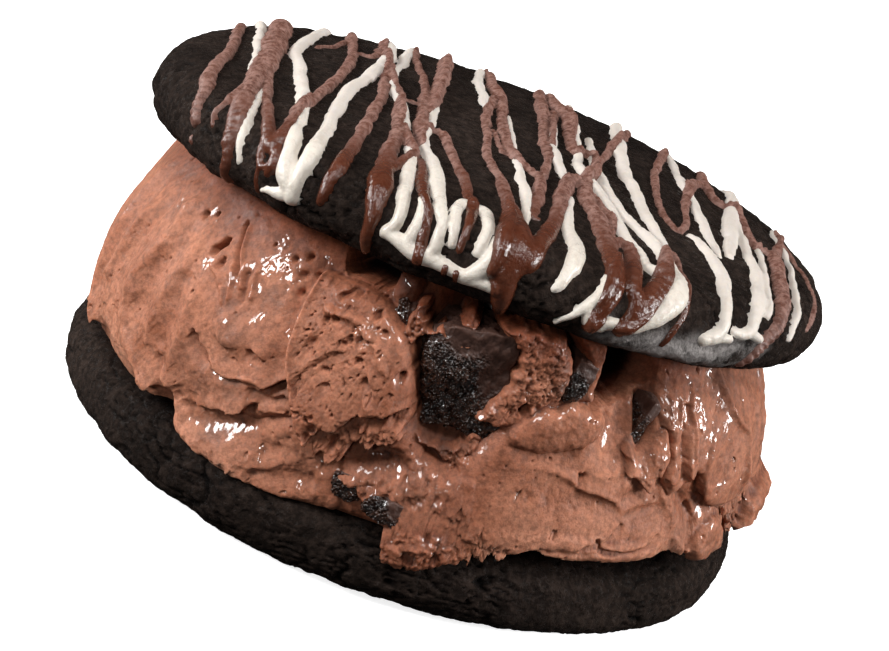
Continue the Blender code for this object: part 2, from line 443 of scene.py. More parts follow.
# a thin smear of glaze on the front rim, with the top laid out flat: right, back and so on
glazeSmear = (
    16.5, -44, 19, -43, 22.5, -42.6, 25, -40, 28, -38.6, 30.5, -36, 33.5, -33, 36, -29.5, 39, -25.5,
    39.4, -29, 36, -35.6, 32, -40, 28, -43.4, 23, -46, 19, -47,
)
cookieSkin = cookieMaterial()
bottomSeed, topSeed = 3, 11
makeCookie("bottomCookie", bottomCookie, bottomSeed, cookieSkin, top=False)
makeCookie("topCookie", topCookie, topSeed, cookieSkin, top=True)


drum = {
    "radius": 43.1, "belly": 0.33, "topTaper": 16.0, "footTaper": 8.0, "softLump": 0.5,
    "columns": 420, "rings": 146, "capShare": 0.13, "edgeRound": 0.10, "edgeInset": 1.2,
    "sink": 0.25, "underPatches": 0.8, "patchSink": 0.35, "patchOverlap": 1.3,
    "patchColumns": 300, "patchRows": 250,
}
patches = {"Left": (-68, -22), "Middle": (-22, 23), "Right": (23, 69)}
mapScale = drum["radius"] * math.pi / 180  # mm for each degree on the flat map of its side

# broad swells and hollows: azimuth, height, half width and half height in mm, out, steepness
swells = {
    "leftBulge": (-52, 23, 20, 8, 0.8, 1.2),
    "lowerLeftNotch": (-41, 10.5, 2.6, 2.6, -3, 1.4),
    "lowerLeftTongue": (-24, 11, 12, 3, 1.5, 1.5),
    "lobeSwell": (-10, 26, 8, 8, 1, 1.6),
    "underLedge": (-3, 18, 4.2, 1.7, -2.6, 1.6),
    "brownieHollow": (7, 30.6, 6.4, 10.4, -6.4, 2.6),
    "channel": (34.5, 29, 2.6, 4.4, -1.6, 1.4),
    "chunkHollow": (40.4, 29.2, 1.3, 3.2, -2.2, 1.6),
    "rightMass": (62, 27.5, 14, 6.5, 1.4, 1.5),
    "besideSmallLobe": (35.6, 22.8, 3.6, 2, 1, 1.4),
    "slopeRight": (36, 36, 7, 4.6, -3, 1.5),
    "lowerFold": (38, 15.4, 20, 3.6, 1.6, 1.4),
    "underFold": (44, 9.4, 25, 4.2, -5.6, 2.4),
    "leftSlim": (-84, 28, 9, 7, -0.9, 1.4),
    "rightSlim": (84, 28, 9, 6, -0.8, 1.4),
    "lowerCrumbs": (9, 11.8, 5.5, 3, 2, 1.4),
    "rightEdgeNub": (84, 18.4, 3, 1.9, 1.4, 1.3),
    "rightEdgeLow": (82, 13, 4.6, 2.6, 1.6, 1.3),
    "leftEdgeNub": (-86, 9.6, 3, 1.5, 1.9, 1.3),
    "backScoop": (155, 22, 20, 8, 1.8, 1.2),
    "backFold": (-148, 14, 18, 3.2, 1.8, 1.4),
    "backGroove": (-160, 19, 16, 1.8, -1.8, 1.3),
    "backHollow": (128, 31, 8, 3.6, -3, 1.4),
    "backRightFold": (118, 15, 12, 3.6, 1.6, 1.4),
    "backLeftHollow": (-120, 29, 9, 3.4, -2.2, 1.4),
}

# lobes with a crisp edge: outline as azimuth, height, azimuth, height and so on; how far they stand out or
# the distance from the axis that they reach; how wide the rounded edge is, how far they sag and how torn the
# outline is, all in mm; then how pitted, crumbly, lumpy and wet they are
flaps = {
    "leftBulge": {
        "outline": (-21, 39, -20.8, 33, -20.4, 28, -20.2, 24.6, -18.6, 22.4, -16.4, 20.4, -17.4, 18.6,
            -20.4, 17, -24, 16, -29, 14.2, -33.7, 12.9, -36.4, 12.6, -38.6, 13, -40.8, 12.2, -45.6, 11.3,
            -53.6, 10.8, -60, 11.4, -72, 10.4, -95, 9, -110, 14, -112, 28, -100, 39, -60, 41),
        "out": 1, "edge": 3.8, "torn": 0.1, "soft": True, "wet": 0.3,
    },
    "midFold": {
        "outline": (-37.6, 13.2, -36.4, 16.8, -33.6, 19.4, -29, 20.2, -25, 20.8, -22, 20.2, -19.4, 19.9,
            -17.2, 20.2, -16.8, 19, -20.2, 17.6, -24, 16.6, -29, 15, -33.7, 13.6),
        "out": 0.9, "edge": 1.8, "torn": 0.1, "soft": True, "wet": 0.7,
    },
    "lowerTongue": {
        "outline": (-37, 13, -36.9, 11.8, -35.6, 10, -33, 8.6, -23.7, 9, -13, 9, -6.8, 9.4, -4.9, 11.2, -6,
            13.6, -8.4, 15.4, -11, 17, -13.6, 18.6, -17.5, 18.6, -22, 16.4, -28, 15.4),
        "out": 0.5, "edge": 1.8, "torn": 0.15, "wet": 0.85,
    },
    "underBrownie": {
        "outline": (1.8, 21.4, 2.6, 20.4, 4.8, 19.8, 7, 18.9, 9.6, 19.2, 12.2, 20.8, 13.4, 22.8, 11.4, 23.4,
            9.4, 22, 7, 21.2, 4.2, 21.6),
        "reach": 41.4, "edge": 1.4, "torn": 1.4, "crumbs": 1, "wet": 0.8,
    },
    "crumbArmLeft": {
        "outline": (-5, 32, -4.6, 34.6, -4.2, 36.6, -2.4, 36.4, -2.8, 34.8, -1.4, 34.4, 0.5, 35.2, 2.4,
            34.8, 4.4, 34.6, 6.4, 34.4, 5.8, 33.2, 3.4, 33, 1.8, 32.4, 0.6, 33.6, -1.8, 32.6, -3.4, 31.4),
        "reach": 41.6, "edge": 0.7, "sag": 0.2, "torn": 0.7, "crumbs": 0.8, "wet": 0.7,
    },
    "crumbArmRight": {
        "outline": (2.4, 34.6, 2.8, 36.8, 4.4, 37.6, 6.4, 37, 6.6, 35.4, 5, 34.8),
        "reach": 41, "edge": 0.8, "sag": 0.2, "torn": 0.6, "crumbs": 0.6, "wet": 0.9,
    },
    "scoopLobe": {
        "outline": (-22.2, 34.4, -22.1, 32.4, -21.8, 30.6, -21.5, 28.8, -21, 27.2, -20.1, 25.7, -18.7, 24.3,
            -17.4, 23, -16, 21.6, -14.6, 20.2, -12.9, 18.8, -11, 17.2, -8.8, 16.4, -6.6, 18.2, -4, 20.4,
            0.4, 22.6, 1.1, 25, 0.3, 26.6, -0.4, 28.4, -1.6, 30.4, -3.4, 32.2, -6.4, 33.4, -8.8, 34.4, -12,
            35.1, -15.8, 35.2, -18.4, 34.8, -20.6, 34.8),
        "out": 1.9, "edge": 1.2, "sag": 0.2, "torn": 0.1, "pits": 0.9, "wet": 0.1,
    },
    "lobeFacet": {
        "outline": (-20.4, 34.2, -18.4, 32.6, -16.6, 31.9, -14.6, 32.2, -12.4, 32.2, -10.3, 31.5, -8.1,
            30.6, -6.3, 29.4, -5, 28, -3.4, 26.8, -1.6, 26, 0.7, 25.4, -0.3, 28.2, -1.6, 30.3, -3.4, 32.1,
            -6.4, 33.3, -8.8, 34.3, -12, 35, -15.8, 35.1, -18.4, 34.7),
        "out": 2.2, "edge": 1.2, "torn": 0.3, "pits": 0.12, "wet": 0.7,
    },
    "lobeUnderside": {
        "outline": (-11.6, 21.2, -9.2, 21.9, -7.6, 23.1, -6.5, 24.2, -4.1, 25, -1.8, 24.9, 1.3, 24.6, 1.8,
            22.4, -0.4, 20.2, -6, 17, -9.4, 15, -12.6, 18.4),
        "reach": 42.6, "edge": 0.9, "torn": 0.2, "crumbs": 0.4, "pits": 0.3, "wet": 0.3, "carve": True,
    },
    "blackLeft": {
        "outline": (-20.6, 38.8, -20.2, 36.6, -18.6, 35.3, -16, 35.3, -13.6, 35.5, -11.4, 35.4, -10, 36.2,
            -9.4, 38.8),
        "reach": 29, "edge": 0.8, "torn": 0.3, "carve": True,
    },
    "backLobe": {
        "outline": (-9.6, 35.6, -9.4, 38.6, -5.2, 38.6, -5, 36.4, -6.4, 34.9, -8.2, 34.8),
        "reach": 39.2, "edge": 1.9, "torn": 0.1, "wet": 0.8,
    },
    "crumblyLedge": {
        "outline": (-13, 20.6, -12.2, 19.2, -10.4, 17.6, -8.4, 16.6, -6.8, 17.8, -5.5, 19.1, -3.3, 19.9, -3,
            21, -1.2, 21.5, -0.2, 21.3, 0.7, 22.1, -0.4, 23, -2.6, 23.2, -4.4, 22.4, -6.6, 22.6, -8.4, 21.4,
            -10.6, 21.2),
        "reach": 44.2, "edge": 0.9, "sag": 0.3, "torn": 0.9, "crumbs": 0.8, "pits": 0.3, "wet": 0.3,
    },
    "lightLobe": {
        "outline": (8.7, 36.8, 12, 38.2, 16, 38.6, 20, 37.6, 23.6, 35.4, 24.2, 33.4, 23.4, 31.2, 22.2, 29.8,
            20.4, 28.9, 18.4, 28.2, 16.8, 27.2, 15.2, 25.6, 12.6, 24.6, 10.4, 25, 10.6, 27.2, 12, 29.4,
            13.4, 31.4, 12.6, 33.8, 10.6, 34.8),
        "reach": 42, "edge": 1.6, "torn": 0.7, "crumbs": 0.42, "pits": 0.5, "lumps": 0.3, "wet": 0.6,
    },
    "tongue": {
        "outline": (16.6, 25.4, 17.2, 26.8, 18.6, 28, 20.8, 28.8, 23.6, 29.6, 26, 30.4, 28.8, 30.4, 31.6,
            29.6, 33, 28.2, 31.4, 26.8, 28.6, 25.4, 25.5, 24.3, 22.5, 24, 19.2, 24.2),
        "out": 1.15, "edge": 2, "torn": 0.5, "tip": 0.8, "wet": 0.85,
    },
    "smallLobe": {
        "outline": (36.5, 25.8, 37.4, 25.2, 37.2, 24.3, 38.8, 23.9, 40.8, 23, 42.9, 22.3, 44, 22.6, 44.2,
            23.8, 45.2, 24.2, 45.6, 26, 45.2, 28, 44, 28.8, 43, 27.9, 41.6, 27.2, 40, 25.9, 38.8, 26.2,
            37.6, 26.7),
        "out": 1.5, "edge": 1.1, "sag": 0.2, "torn": 0.3, "wet": 0.9, "crumbs": 0.25,
    },
    "rightMass": {
        "outline": (45, 38.5, 43.4, 34, 42.2, 31.2, 43.2, 29.2, 45.4, 28.2, 46.2, 26, 45.4, 24, 47, 22.2,
            50, 22, 51.4, 23.6, 53.4, 24, 55.4, 21.8, 60, 20.4, 70, 21, 80, 21.5, 92, 22, 100, 28, 96, 38,
            80, 40, 60, 40),
        "out": 1.1, "edge": 2, "sag": 0.3, "torn": 0.4, "wet": 0.8,
    },
    "rightSheet": {
        "outline": (62.6, 38.5, 61.4, 34.6, 58.6, 31.6, 56, 29.8, 54.2, 27.6, 53.6, 25.2, 54.8, 22.8, 60,
            20.9, 75, 21.2, 92, 22, 97, 38),
        "out": 1.6, "edge": 1.2, "sag": 0.2, "torn": 0.3, "wet": 0.75,
    },
    "edgeLumps": {
        "outline": (72, 36, 73, 31, 75.4, 27, 82, 25.6, 92, 27, 93, 36),
        "out": 0.5, "edge": 1.6, "torn": 0.8, "lumps": 0.55, "wet": 0.6,
    },
    "blackRight": {
        "outline": (28.4, 38.8, 28.8, 34, 28.8, 29.4, 31.4, 29.6, 35.8, 30.4, 40.2, 31.8, 43.6, 33.6, 44.6,
            36.6, 45.2, 38.8),
        "reach": 29, "edge": 2.4, "torn": 0.2, "carve": True,
    },
    "hangingSheet": {
        "outline": (21.8, 38.4, 28.4, 38.4, 29.4, 35, 28.9, 32, 27.4, 30.4, 25.6, 31, 25.8, 34, 24.4, 36),
        "reach": 40.8, "edge": 1.1, "torn": 0.3, "wet": 0.9,
    },
    "lowFold": {
        "outline": (10, 14.6, 12.6, 18.8, 16.4, 21.4, 20.4, 23, 26.5, 23, 29.9, 22.4, 32.7, 22.2, 36.1,
            21.8, 39.5, 20.7, 42.5, 21.3, 45.3, 21.2, 49, 21.7, 54, 21.3, 58.6, 20.6, 62, 19.4, 65, 17.8,
            64, 16.4, 60, 15.2, 56, 14.6, 52.4, 14.4, 45.6, 13.6, 39.5, 13.2, 34, 13.2, 27.6, 13, 23.6,
            12.4, 18.4, 11.4, 13, 12),
        "out": 0.9, "edge": 4.6, "torn": 0.3, "soft": True, "pits": 0.14, "wet": 0.3,
    },
    "endKnob": {
        "outline": (56.6, 15.6, 56.3, 17.6, 57.8, 19.6, 60.4, 20.5, 64, 19.7, 67.4, 17.8, 69.2, 16, 67.6,
            14.9, 63, 14.7, 59.4, 14.8),
        "out": 2.3, "edge": 1.6, "sag": 0.2, "torn": 0.4, "lumps": 0.2, "wet": 0.9,
    },
    "redCrumbs": {
        "outline": (61.6, 20.6, 66, 21.2, 70, 21.5, 76, 20.6, 78.4, 17.6, 75.4, 15, 71, 15.2, 68.6, 17.4,
            65, 19.6),
        "out": 1.4, "edge": 1.2, "torn": 0.8, "crumbs": 0.8, "lumps": 0.4, "wet": 0.9,
    },
    "rightKnob": {
        "outline": (73, 17, 74.4, 19.8, 78, 21.2, 83, 21.4, 88, 20.6, 91, 18.6, 88, 16.6, 82, 15.9, 76,
            15.8),
        "reach": 46.6, "edge": 1.7, "sag": 0.2, "torn": 0.6, "lumps": 0.5, "wet": 0.6,
    },
    "lowCrumble": {
        "outline": (1.9, 11, 3.2, 13.2, 4.2, 16, 6.6, 18.4, 10.6, 19.2, 14.8, 18.2, 18.6, 16.4, 22.4, 14.2,
            20.6, 12, 14.6, 10, 9, 9.2, 5, 9.6),
        "out": 1, "edge": 1.3, "sag": 0.2, "torn": 1.1, "tip": -1, "crumbs": 0.55, "lumps": 0.45,
        "pits": 0.2, "wet": 0.6,
    },
    "lumpyCentre": {
        "outline": (-6.2, 14.6, -4.2, 17.6, -1, 19.2, 2.6, 19.8, 6, 19.2, 10, 19.6, 13, 19.2, 16.6, 16.6,
            14, 15.4, 8, 14.6, 2.4, 13.2, -3, 13),
        "out": 0.5, "edge": 1.6, "torn": 1, "lumps": 1, "crumbs": 0.3, "wet": 1,
    },
}

# grooves (negative) and ridges: the path as azimuth, height and so on, then half width and depth in mm
strokes = {
    "dragRidge": ((-54.3, 20.5, -55.4, 23.4, -54.2, 26, -52.8, 29, -53.6, 31, -54.6, 33), 1.4, 0.8),
    "dragTrough": ((-50.5, 19.5, -51, 23, -50, 26, -48.6, 29.5, -49, 33), 1.8, -0.5),
    "sideRidge": ((-55, 20.5, -52.4, 17.8, -49, 16.6, -45.6, 15.8, -41, 14.8), 1.2, 0.7),
    "farRidge": ((-65, 20.5, -64.4, 23, -63.6, 25.4, -63, 28.6), 1.1, 0.8),
    "farTrough": ((-60.4, 20, -60, 24, -59, 28, -59, 32), 1.4, -0.4),
    "lowRidgeA": ((-46, 15.4, -43.4, 14.4, -41, 13.8, -39, 13.6), 0.7, 0.4),
    "lowRidgeB": ((-41.4, 17, -38.8, 15.4, -36.8, 13.4, -33.6, 12.6), 0.7, 0.5),
    "lowTroughB": ((-43, 17.6, -40.8, 15.4, -38.6, 13.8), 0.7, -0.5),
    "rimRidge": ((-72, 33, -71, 29, -70.6, 25, -70.4, 21, -69, 16.6, -64, 13.4), 1, 0.7),
    "rimTrough": ((-67.6, 31, -67.2, 26, -66.8, 21, -66, 17), 1.2, -0.5),
    "softRidgeA": ((-58.4, 34, -57.8, 30, -58.4, 26), 1, 0.35),
    "softRidgeB": ((-46.4, 32, -46, 28, -46.6, 24, -47, 20.6), 1.1, 0.4),
    "softTroughB": ((-43.6, 27, -43.4, 23, -44, 18.6), 1.3, -0.45),
    "softRidgeC": ((-40.6, 26.6, -40, 22.6, -39.6, 18.6, -37.6, 15.6), 1, 0.45),
    "gouge": ((-40.8, 34.6, -38.8, 33, -37.4, 31.6, -35.1, 29.6), 0.3, -1),
    "gougeLip": ((-39.9, 34.4, -37.9, 32.9, -36.5, 31.4, -34.5, 29.6), 0.35, 0.4),
    "streakA": ((-35.2, 31.4, -34.4, 30.1, -33, 28.6), 0.28, 0.4),
    "streakB": ((-37.1, 30.4, -35.6, 28.8, -34, 27.2), 0.28, 0.4),
    "streakC": ((-32.4, 31, -31.6, 29.9, -30.6, 28.2), 0.3, 0.42),
    "streakD": ((-41.2, 29, -38.8, 28.6, -36.4, 27.6, -34.8, 26.6), 0.26, 0.32),
    "streakE": ((-33.8, 30.6, -32.8, 28.8, -31.8, 27.4), 0.35, -0.45),
    "leafCrack": ((-37.4, 22.6, -36.2, 21.4, -34.8, 20.9, -33, 20.4), 0.62, -1.5),
    "longCrack": ((-32.3, 20.8, -29.6, 20.5, -27.2, 20.9, -25, 21.4), 0.4, -1.2),
    "longCrackLip": ((-32, 21.5, -29.6, 21.4, -27.2, 21.8, -25, 22.2), 0.5, 0.35),
    "hole": ((-42.3, 29.8, -41.8, 30.8, -41.3, 31.9), 0.42, -1.9),
    "holeSmallA": ((-49.9, 31.8, -49.2, 32.2), 0.45, -1.2),
    "holeSmallB": ((-47.2, 32.8, -46.8, 33.3), 0.3, -0.9),
    "holeSmallC": ((-39.5, 29.2, -39.1, 30.2), 0.4, -0.8),
    "dentA": ((-24.9, 23.4, -25.6, 23.9, -26.4, 23.5), 0.55, -1),
    "lipUnderBulge": ((-26, 22, -23.4, 22.6, -21.2, 22, -19.8, 22.8, -18, 24.2), 0.55, 0.7),
    "pocket": ((-22.2, 20.5, -20.6, 21.3, -19.2, 22.1, -18.2, 22.5), 0.6, -1.7),
    "creaseHigh": ((-24.5, 20.3, -22, 19.8, -20, 19.9, -18.2, 20.7), 0.5, -0.9),
    "creaseLong": ((-37, 12.6, -34.6, 12.6, -31, 13.2, -28, 14, -25, 15, -22, 16, -19.2, 17.6, -16.6,
        19), 0.8, -0.55),
    "tooth": ((-22.4, 18.9, -23.2, 18, -23.7, 17.2), 0.5, -0.9),
    "midRidge": ((-33, 15.4, -29, 17, -25.8, 18.4, -23.8, 19), 0.9, 0.5),
    "tongueTrough": ((-20.4, 12, -16.6, 12.4, -13.1, 12.7, -9.6, 13.4), 0.9, -0.6),
    "tongueDim": ((-19.4, 14, -17.6, 14.6, -16.2, 15.2), 0.8, -0.5),
    "tongueRidge": ((-27, 12.6, -22, 13.4, -17, 14, -12.6, 15.2), 0.8, 0.35),
    "lobeRim": ((-21.7, 34.4, -21.6, 32.4, -21.3, 30.6, -21, 28.8, -20.5, 27.2, -19.6, 25.8, -18.2, 24.5,
        -16.9, 23.2, -15.5, 21.8, -14.1, 20.4, -12.4, 19.1, -10.6, 17.6), 0.5, 0.85),
    "lobeInnerRidge": ((-18.6, 32.2, -16.6, 31.8, -14.6, 32.1, -12.4, 32.1, -10.3, 31.5, -8.1, 30.7, -6.3,
        29.7, -5, 28.6), 0.5, 0.75),
    "lobeTopCrack": ((-17, 33.5, -15.8, 33.9, -14.8, 34.5, -13.4, 34.4), 0.35, -0.9),
    "lobeDent": ((-10.2, 33.8, -9.4, 32.9), 0.5, -1),
    "lobeFace": ((-14.6, 28, -11, 25.6, -6.4, 26), 3.2, -0.9),
    "lobeFlapEdge": ((-0.6, 29.4, -1.2, 27.8, -0.4, 26.2), 0.6, 0.5),
    "lobeTearA": ((-3.4, 28.8, -2.4, 28.3), 0.35, -1),
    "lobeTearB": ((-7.8, 27, -6.8, 26.6, -6.2, 26.7), 0.38, -1.1),
    "foldShade": ((-9.6, 21.6, -7.8, 22.8, -6.5, 23.9, -4.1, 24.6, -1.8, 24.5, 1.2, 24.3), 0.45, -0.8),
    "ledgeCrackA": ((-9.6, 20.4, -9, 19.4, -9.2, 18.4), 0.4, -1.3),
    "ledgeCrackB": ((-6, 21.6, -5.4, 20.8), 0.35, -1),
    "cavityLeft": ((-10, 15.4, -8.4, 15.6, -6.8, 16.6), 0.6, -1.4),
    "brownieMoat": ((0.8, 31.6, 0.9, 29, 1.2, 27, 1.6, 25.2), 0.8, -2),
    "underBrownieGroove": ((4.4, 20.2, 6.6, 19.3, 9.2, 18.9, 10.4, 20), 0.6, -1.2),
    "tongueCrease": ((16.8, 24.6, 19, 24, 22.5, 23.8, 25.6, 24.2, 28, 25.2), 0.8, -0.4),
    "tongueTopNick": ((27.6, 30.8, 29, 31.2, 30.6, 31.4, 32.4, 31.6), 0.5, 0.9),
    "lobeHole": ((16.4, 28, 17.2, 28.6, 17.9, 29), 0.55, -1.8),
    "channelRidge": ((32.6, 32, 36, 31.6, 38.2, 31.4), 0.6, 0.4),
    "foldRimA": ((24, 22.6, 27, 22.3, 30, 21.9, 33, 21.8, 36.4, 21.3, 39.6, 20.2, 42.6, 20.7, 46,
        20.8), 0.55, 0.45),
    "foldHoleA": ((29.7, 22.5, 30.3, 22.2), 0.5, -1.4),
    "foldHoleB": ((20.3, 19.8, 20.6, 19.7), 0.4, -1),
    "foldHoleC": ((28, 17.9, 28.3, 17.6), 0.32, -0.9),
    "foldHoleD": ((35.5, 17.9, 36, 17.4), 0.36, -1),
    "foldHoleE": ((20.9, 15.4, 21.2, 15.2), 0.32, -0.9),
    "foldCrack": ((33, 16.7, 34.4, 17, 36, 17.2, 38.1, 16.6, 40.8, 16.7), 0.3, -0.8),
    "scratchA": ((34.3, 16.9, 37.9, 17.8, 40.3, 18.6), 0.35, -0.5),
    "scratchB": ((39, 16.5, 43.7, 16.7, 48.3, 18), 0.35, -0.5),
    "scratchC": ((24, 15.4, 29, 16.2, 34, 16.4, 39, 17), 0.3, -0.35),
    "massFoldA": ((46.4, 29.6, 46.2, 26.6, 47.6, 23.4), 0.8, 0.5),
    "massFoldB": ((50, 29, 50.4, 26, 52.4, 23), 0.7, 0.6),
    "massGroove": ((48.4, 29.6, 48.6, 26.4, 50.4, 23.4), 0.6, -0.6),
    "channelShelf": ((33.5, 28.9, 36, 31.4, 40.2, 32.8), 0.8, 0.4),
    "foldScar": ((24.4, 20.2, 27.6, 19.6, 31, 20, 34, 19.6), 1, -0.3),
    "lowScar": ((20, 13.9, 27, 14.9, 34, 15.2, 42, 15, 50, 15.6), 0.7, -0.35),
    "lowScarB": ((24, 13.4, 31, 14, 38, 13.8, 45, 13.8), 0.4, -0.3),
    "diagRidge": ((46.6, 22, 50, 19.8, 53.2, 17.4, 57, 15.4), 0.9, 0.7),
    "diagGroove": ((49.4, 22.4, 52.4, 20.4, 55.2, 18.2), 0.8, -0.6),
    "massStreakA": ((45.2, 32.4, 44.9, 30.6, 44.6, 28.8), 0.45, 0.45),
    "massStreakB": ((50.9, 33, 50.4, 31, 51.2, 28.4, 51.6, 26), 0.4, 0.5),
    "massStreakC": ((47.8, 32.6, 47.4, 30.6, 48.2, 27.6), 0.4, 0.4),
    "massTrough": ((49.4, 31.6, 49.2, 29, 49.8, 25.6), 0.9, -0.6),
    "sheetRidgeA": ((59.6, 35, 59.8, 33, 60.6, 31.2, 62.8, 29.8, 65.4, 28.4, 66.4, 26, 67, 23.4), 0.6, 0.7),
    "sheetTrough": ((57, 34.6, 57, 31, 57.4, 27, 58, 24), 1.6, -0.5),
    "sheetFoldB": ((71, 31, 71, 27, 72, 23), 0.7, 0.6),
    "sheetFoldC": ((76, 34, 77, 30, 76, 25), 0.9, 0.6),
    "knobGroove": ((54.6, 19.6, 56.6, 17, 57.4, 15), 0.5, -0.8),
    "crumbCaveA": ((6.6, 12.6, 7.4, 12.1, 8.6, 12.2), 0.55, -1.5),
    "crumbCaveB": ((10.8, 13.4, 11.6, 12.4), 0.5, -1.3),
    "crumbSplit": ((13, 9.6, 13.2, 11, 13.8, 12.4), 0.5, -1.2),
}

# single bumps and dents: azimuth, height, half width, half height, out, all in mm but the azimuth
bumps = (
    (-30.6, 24.9, 2.4, 1.1, 1), (-32.4, 25.8, 0.8, 0.5, 0.5), (-24.9, 24.8, 1.2, 0.7, 0.5),
    (-12.3, 21.4, 0.55, 0.5, -1.2), (-12.8, 20.2, 0.45, 0.7, -1.2), (-11, 21.4, 0.4, 0.4, -1),
    (-17.4, 27.8, 0.7, 0.8, -0.9), (-13.1, 24.9, 0.5, 0.35, -1), (-12.9, 29.5, 0.45, 0.35, -0.9),
    (-12.1, 30.1, 0.4, 0.4, -0.9), (-10.7, 30.4, 0.5, 0.4, -0.9), (-13.9, 26.3, 0.5, 0.3, -0.9),
    (-7.6, 31.9, 0.4, 0.3, -0.8), (-1.3, 29.4, 0.5, 0.5, -1), (-2.6, 28.4, 0.35, 0.7, -1),
    (-17.2, 24.6, 0.5, 0.7, -0.8), (-16.9, 30.6, 0.4, 0.5, -0.8), (-9.4, 28.6, 0.4, 0.35, -0.8),
    (-15.6, 31.2, 0.45, 0.4, -0.8), (-25.6, 35.2, 0.4, 0.4, -0.9), (-27.6, 34.4, 0.3, 0.3, -0.8),
    (-24.8, 33, 0.5, 0.5, -0.8), (-23.4, 31.2, 0.4, 0.4, -0.8), (-22.6, 33.6, 0.4, 0.3, -0.6),
)

# darker places, mostly where brownie lies just under the surface, and one painted shade on the back lobe
# under the top cookie: azimuth, height, radius in mm, strength
stainsAndShade = (
    (-27.4, 29.3, 1.6, 0.3), (-33.2, 26.4, 1.4, 0.25), (-30.4, 24.6, 2.2, 0.35), (-56, 30.5, 1.3, 0.3),
    (-60.5, 29, 1, 0.3), (-38, 19.2, 2.2, 0.22), (-33, 18.4, 2, 0.3), (-19, 21.6, 1.6, 0.5),
    (-62, 14, 2, 0.15), (53.6, 17.6, 2, 0.35), (44, 30.6, 2.4, 0.25), (-8, 22.4, 1.6, 0.35),
    (5, 17.4, 2, 0.25), (60, 33, 2.4, 0.3), (-46, 25.6, 1.2, 0.15), (-2.4, 18.2, 2.4, 0.35),
    (38.5, 26.8, 1.2, 0.5), (-47.5, 34.4, 2.6, 0.2), (4.4, 21.6, 1.2, 0.6), (7.6, 20.6, 1.2, 0.6),
    (10.4, 22, 1, 0.5), (2.6, 22.6, 1, 0.6), (29, 31, 1.2, 0.4), (-27.6, 19.6, 1.5, 0.5),
    (70, 18.6, 2.6, 0.35), (-30, 13.2, 1.6, 0.35), (-26.6, 13.8, 1.4, 0.3), (24.2, 32.6, 1.6, 0.7),
    # the first spot on this line, on the back lobe under the top cookie, is painted shade
    (-7.5, 36.8, 2.2, 0.6), (22.6, 31.6, 1.6, 0.7), (20.4, 34.6, 1.4, 0.4),
)

# wet, glinting places: azimuth, height, radius in mm, strength
wetSpots = (
    (-30.4, 19.8, 0.8, 1), (-35, 18.2, 1, 0.8), (-22.4, 21.6, 0.7, 0.9), (-25, 15.2, 0.9, 0.9),
    (-36.4, 21.6, 0.6, 1), (-33.4, 11.2, 0.9, 0.9), (-27.6, 11.6, 1, 0.9), (-44.8, 14.8, 0.9, 0.6),
    (30.4, 17.9, 0.6, 0.8), (20, 19.6, 0.5, 0.9), (23.8, 17.7, 0.8, 1), (26, 28.6, 0.8, 1),
    (12.6, 26.6, 1.4, 0.9), (16, 31, 1.6, 0.9), (-30.8, 32.2, 1.6, 1), (-27.8, 33.6, 1.5, 1),
    (-31.2, 34.9, 1.2, 0.8), (-26.2, 32.4, 1.4, 1), (-35.2, 29, 1.1, 0.9), (-30.6, 29.2, 1, 0.9),
    (-27.9, 26.9, 1, 0.7), (-31.6, 25.8, 0.7, 0.9), (-29.8, 25, 0.6, 0.8), (-26.2, 18.4, 0.6, 0.9),
    (-34.4, 31, 0.9, 0.8), (-41.6, 28.8, 1, 0.8), (-22.6, 35.6, 1.4, 0.6), (-10.5, 31.2, 1.5, 0.9),
    (-5.5, 30, 1.2, 0.9), (-12, 15.8, 1.4, 1), (-9.2, 15.2, 1.2, 1), (-16.4, 16.6, 1.2, 0.9),
    (-22.6, 12.2, 1.2, 0.9), (-18, 11.6, 1.4, 0.8), (20.4, 28.2, 1.2, 1), (24.4, 28.8, 1.4, 1),
    (28.6, 29.6, 1.2, 0.9), (34.6, 24.4, 0.6, 1), (23.3, 18, 1, 1), (21.8, 19.8, 0.8, 0.9),
    (44.8, 30.6, 2, 1), (48, 31, 2, 1), (51.6, 31.4, 2, 1), (47.5, 28.2, 1.6, 0.9), (42.6, 26.2, 1, 1),
    (43.4, 24.4, 0.9, 1), (51.4, 20.8, 1.5, 1), (56.5, 19.5, 1.5, 0.9), (58, 33, 1.6, 0.8),
    (64, 31, 2, 0.6), (-2.6, 15.4, 1.5, 0.9), (1.6, 15, 1.5, 0.9), (7.5, 16.2, 1.6, 0.9),
    (11, 14.2, 1.4, 0.8), (14.5, 16.2, 1.2, 0.8), (-55.6, 31.2, 1.4, 0.6), (-48.6, 33, 1.2, 0.6),
    (-54, 15.6, 1.4, 0.4),
)


def ceilingHeight(x, y):
    # height of the top cookie's underside
    height = topCentre[2] + (y - topCentre[1]) * math.tan(math.radians(topCookie["leanBack"]))
    height = height - x * math.tan(math.radians(topCookie["leanSide"]))
    return height - topCookie["bow"] * (x / topCookie["radius"]) ** 2


def floorHeight(reach):
    # height of the bottom cookie's upper face at a distance from the axis
    past = np.clip((reach - (cookieRadius - shoulderWidth)) / shoulderWidth, 0, 1)
    return cookieThickness - shoulderDrop * (1 - np.sqrt(1 - past**2))


def strokeLift(u, v, path, halfWidth, out):
    # a ridge or groove along a smooth path, fading at its ends, for points near it
    line = smoothPath(path, 4) * (mapScale, 1)
    margin = halfWidth * 2.6
    low, high = line.min(axis=0) - margin, line.max(axis=0) + margin
    close = (u > low[0]) & (u < high[0]) & (v > low[1]) & (v < high[1])
    lift = np.zeros(len(u))
    d, along = pathDistance(u[close], v[close], line)
    t = along / (len(line) - 1)
    fade = np.clip(np.minimum(t, 1 - t) * 6 + 0.35, 0, 1)
    lift[close] = out * np.exp(-((d / halfWidth / np.sqrt(fade)) ** 2)) * fade
    return lift


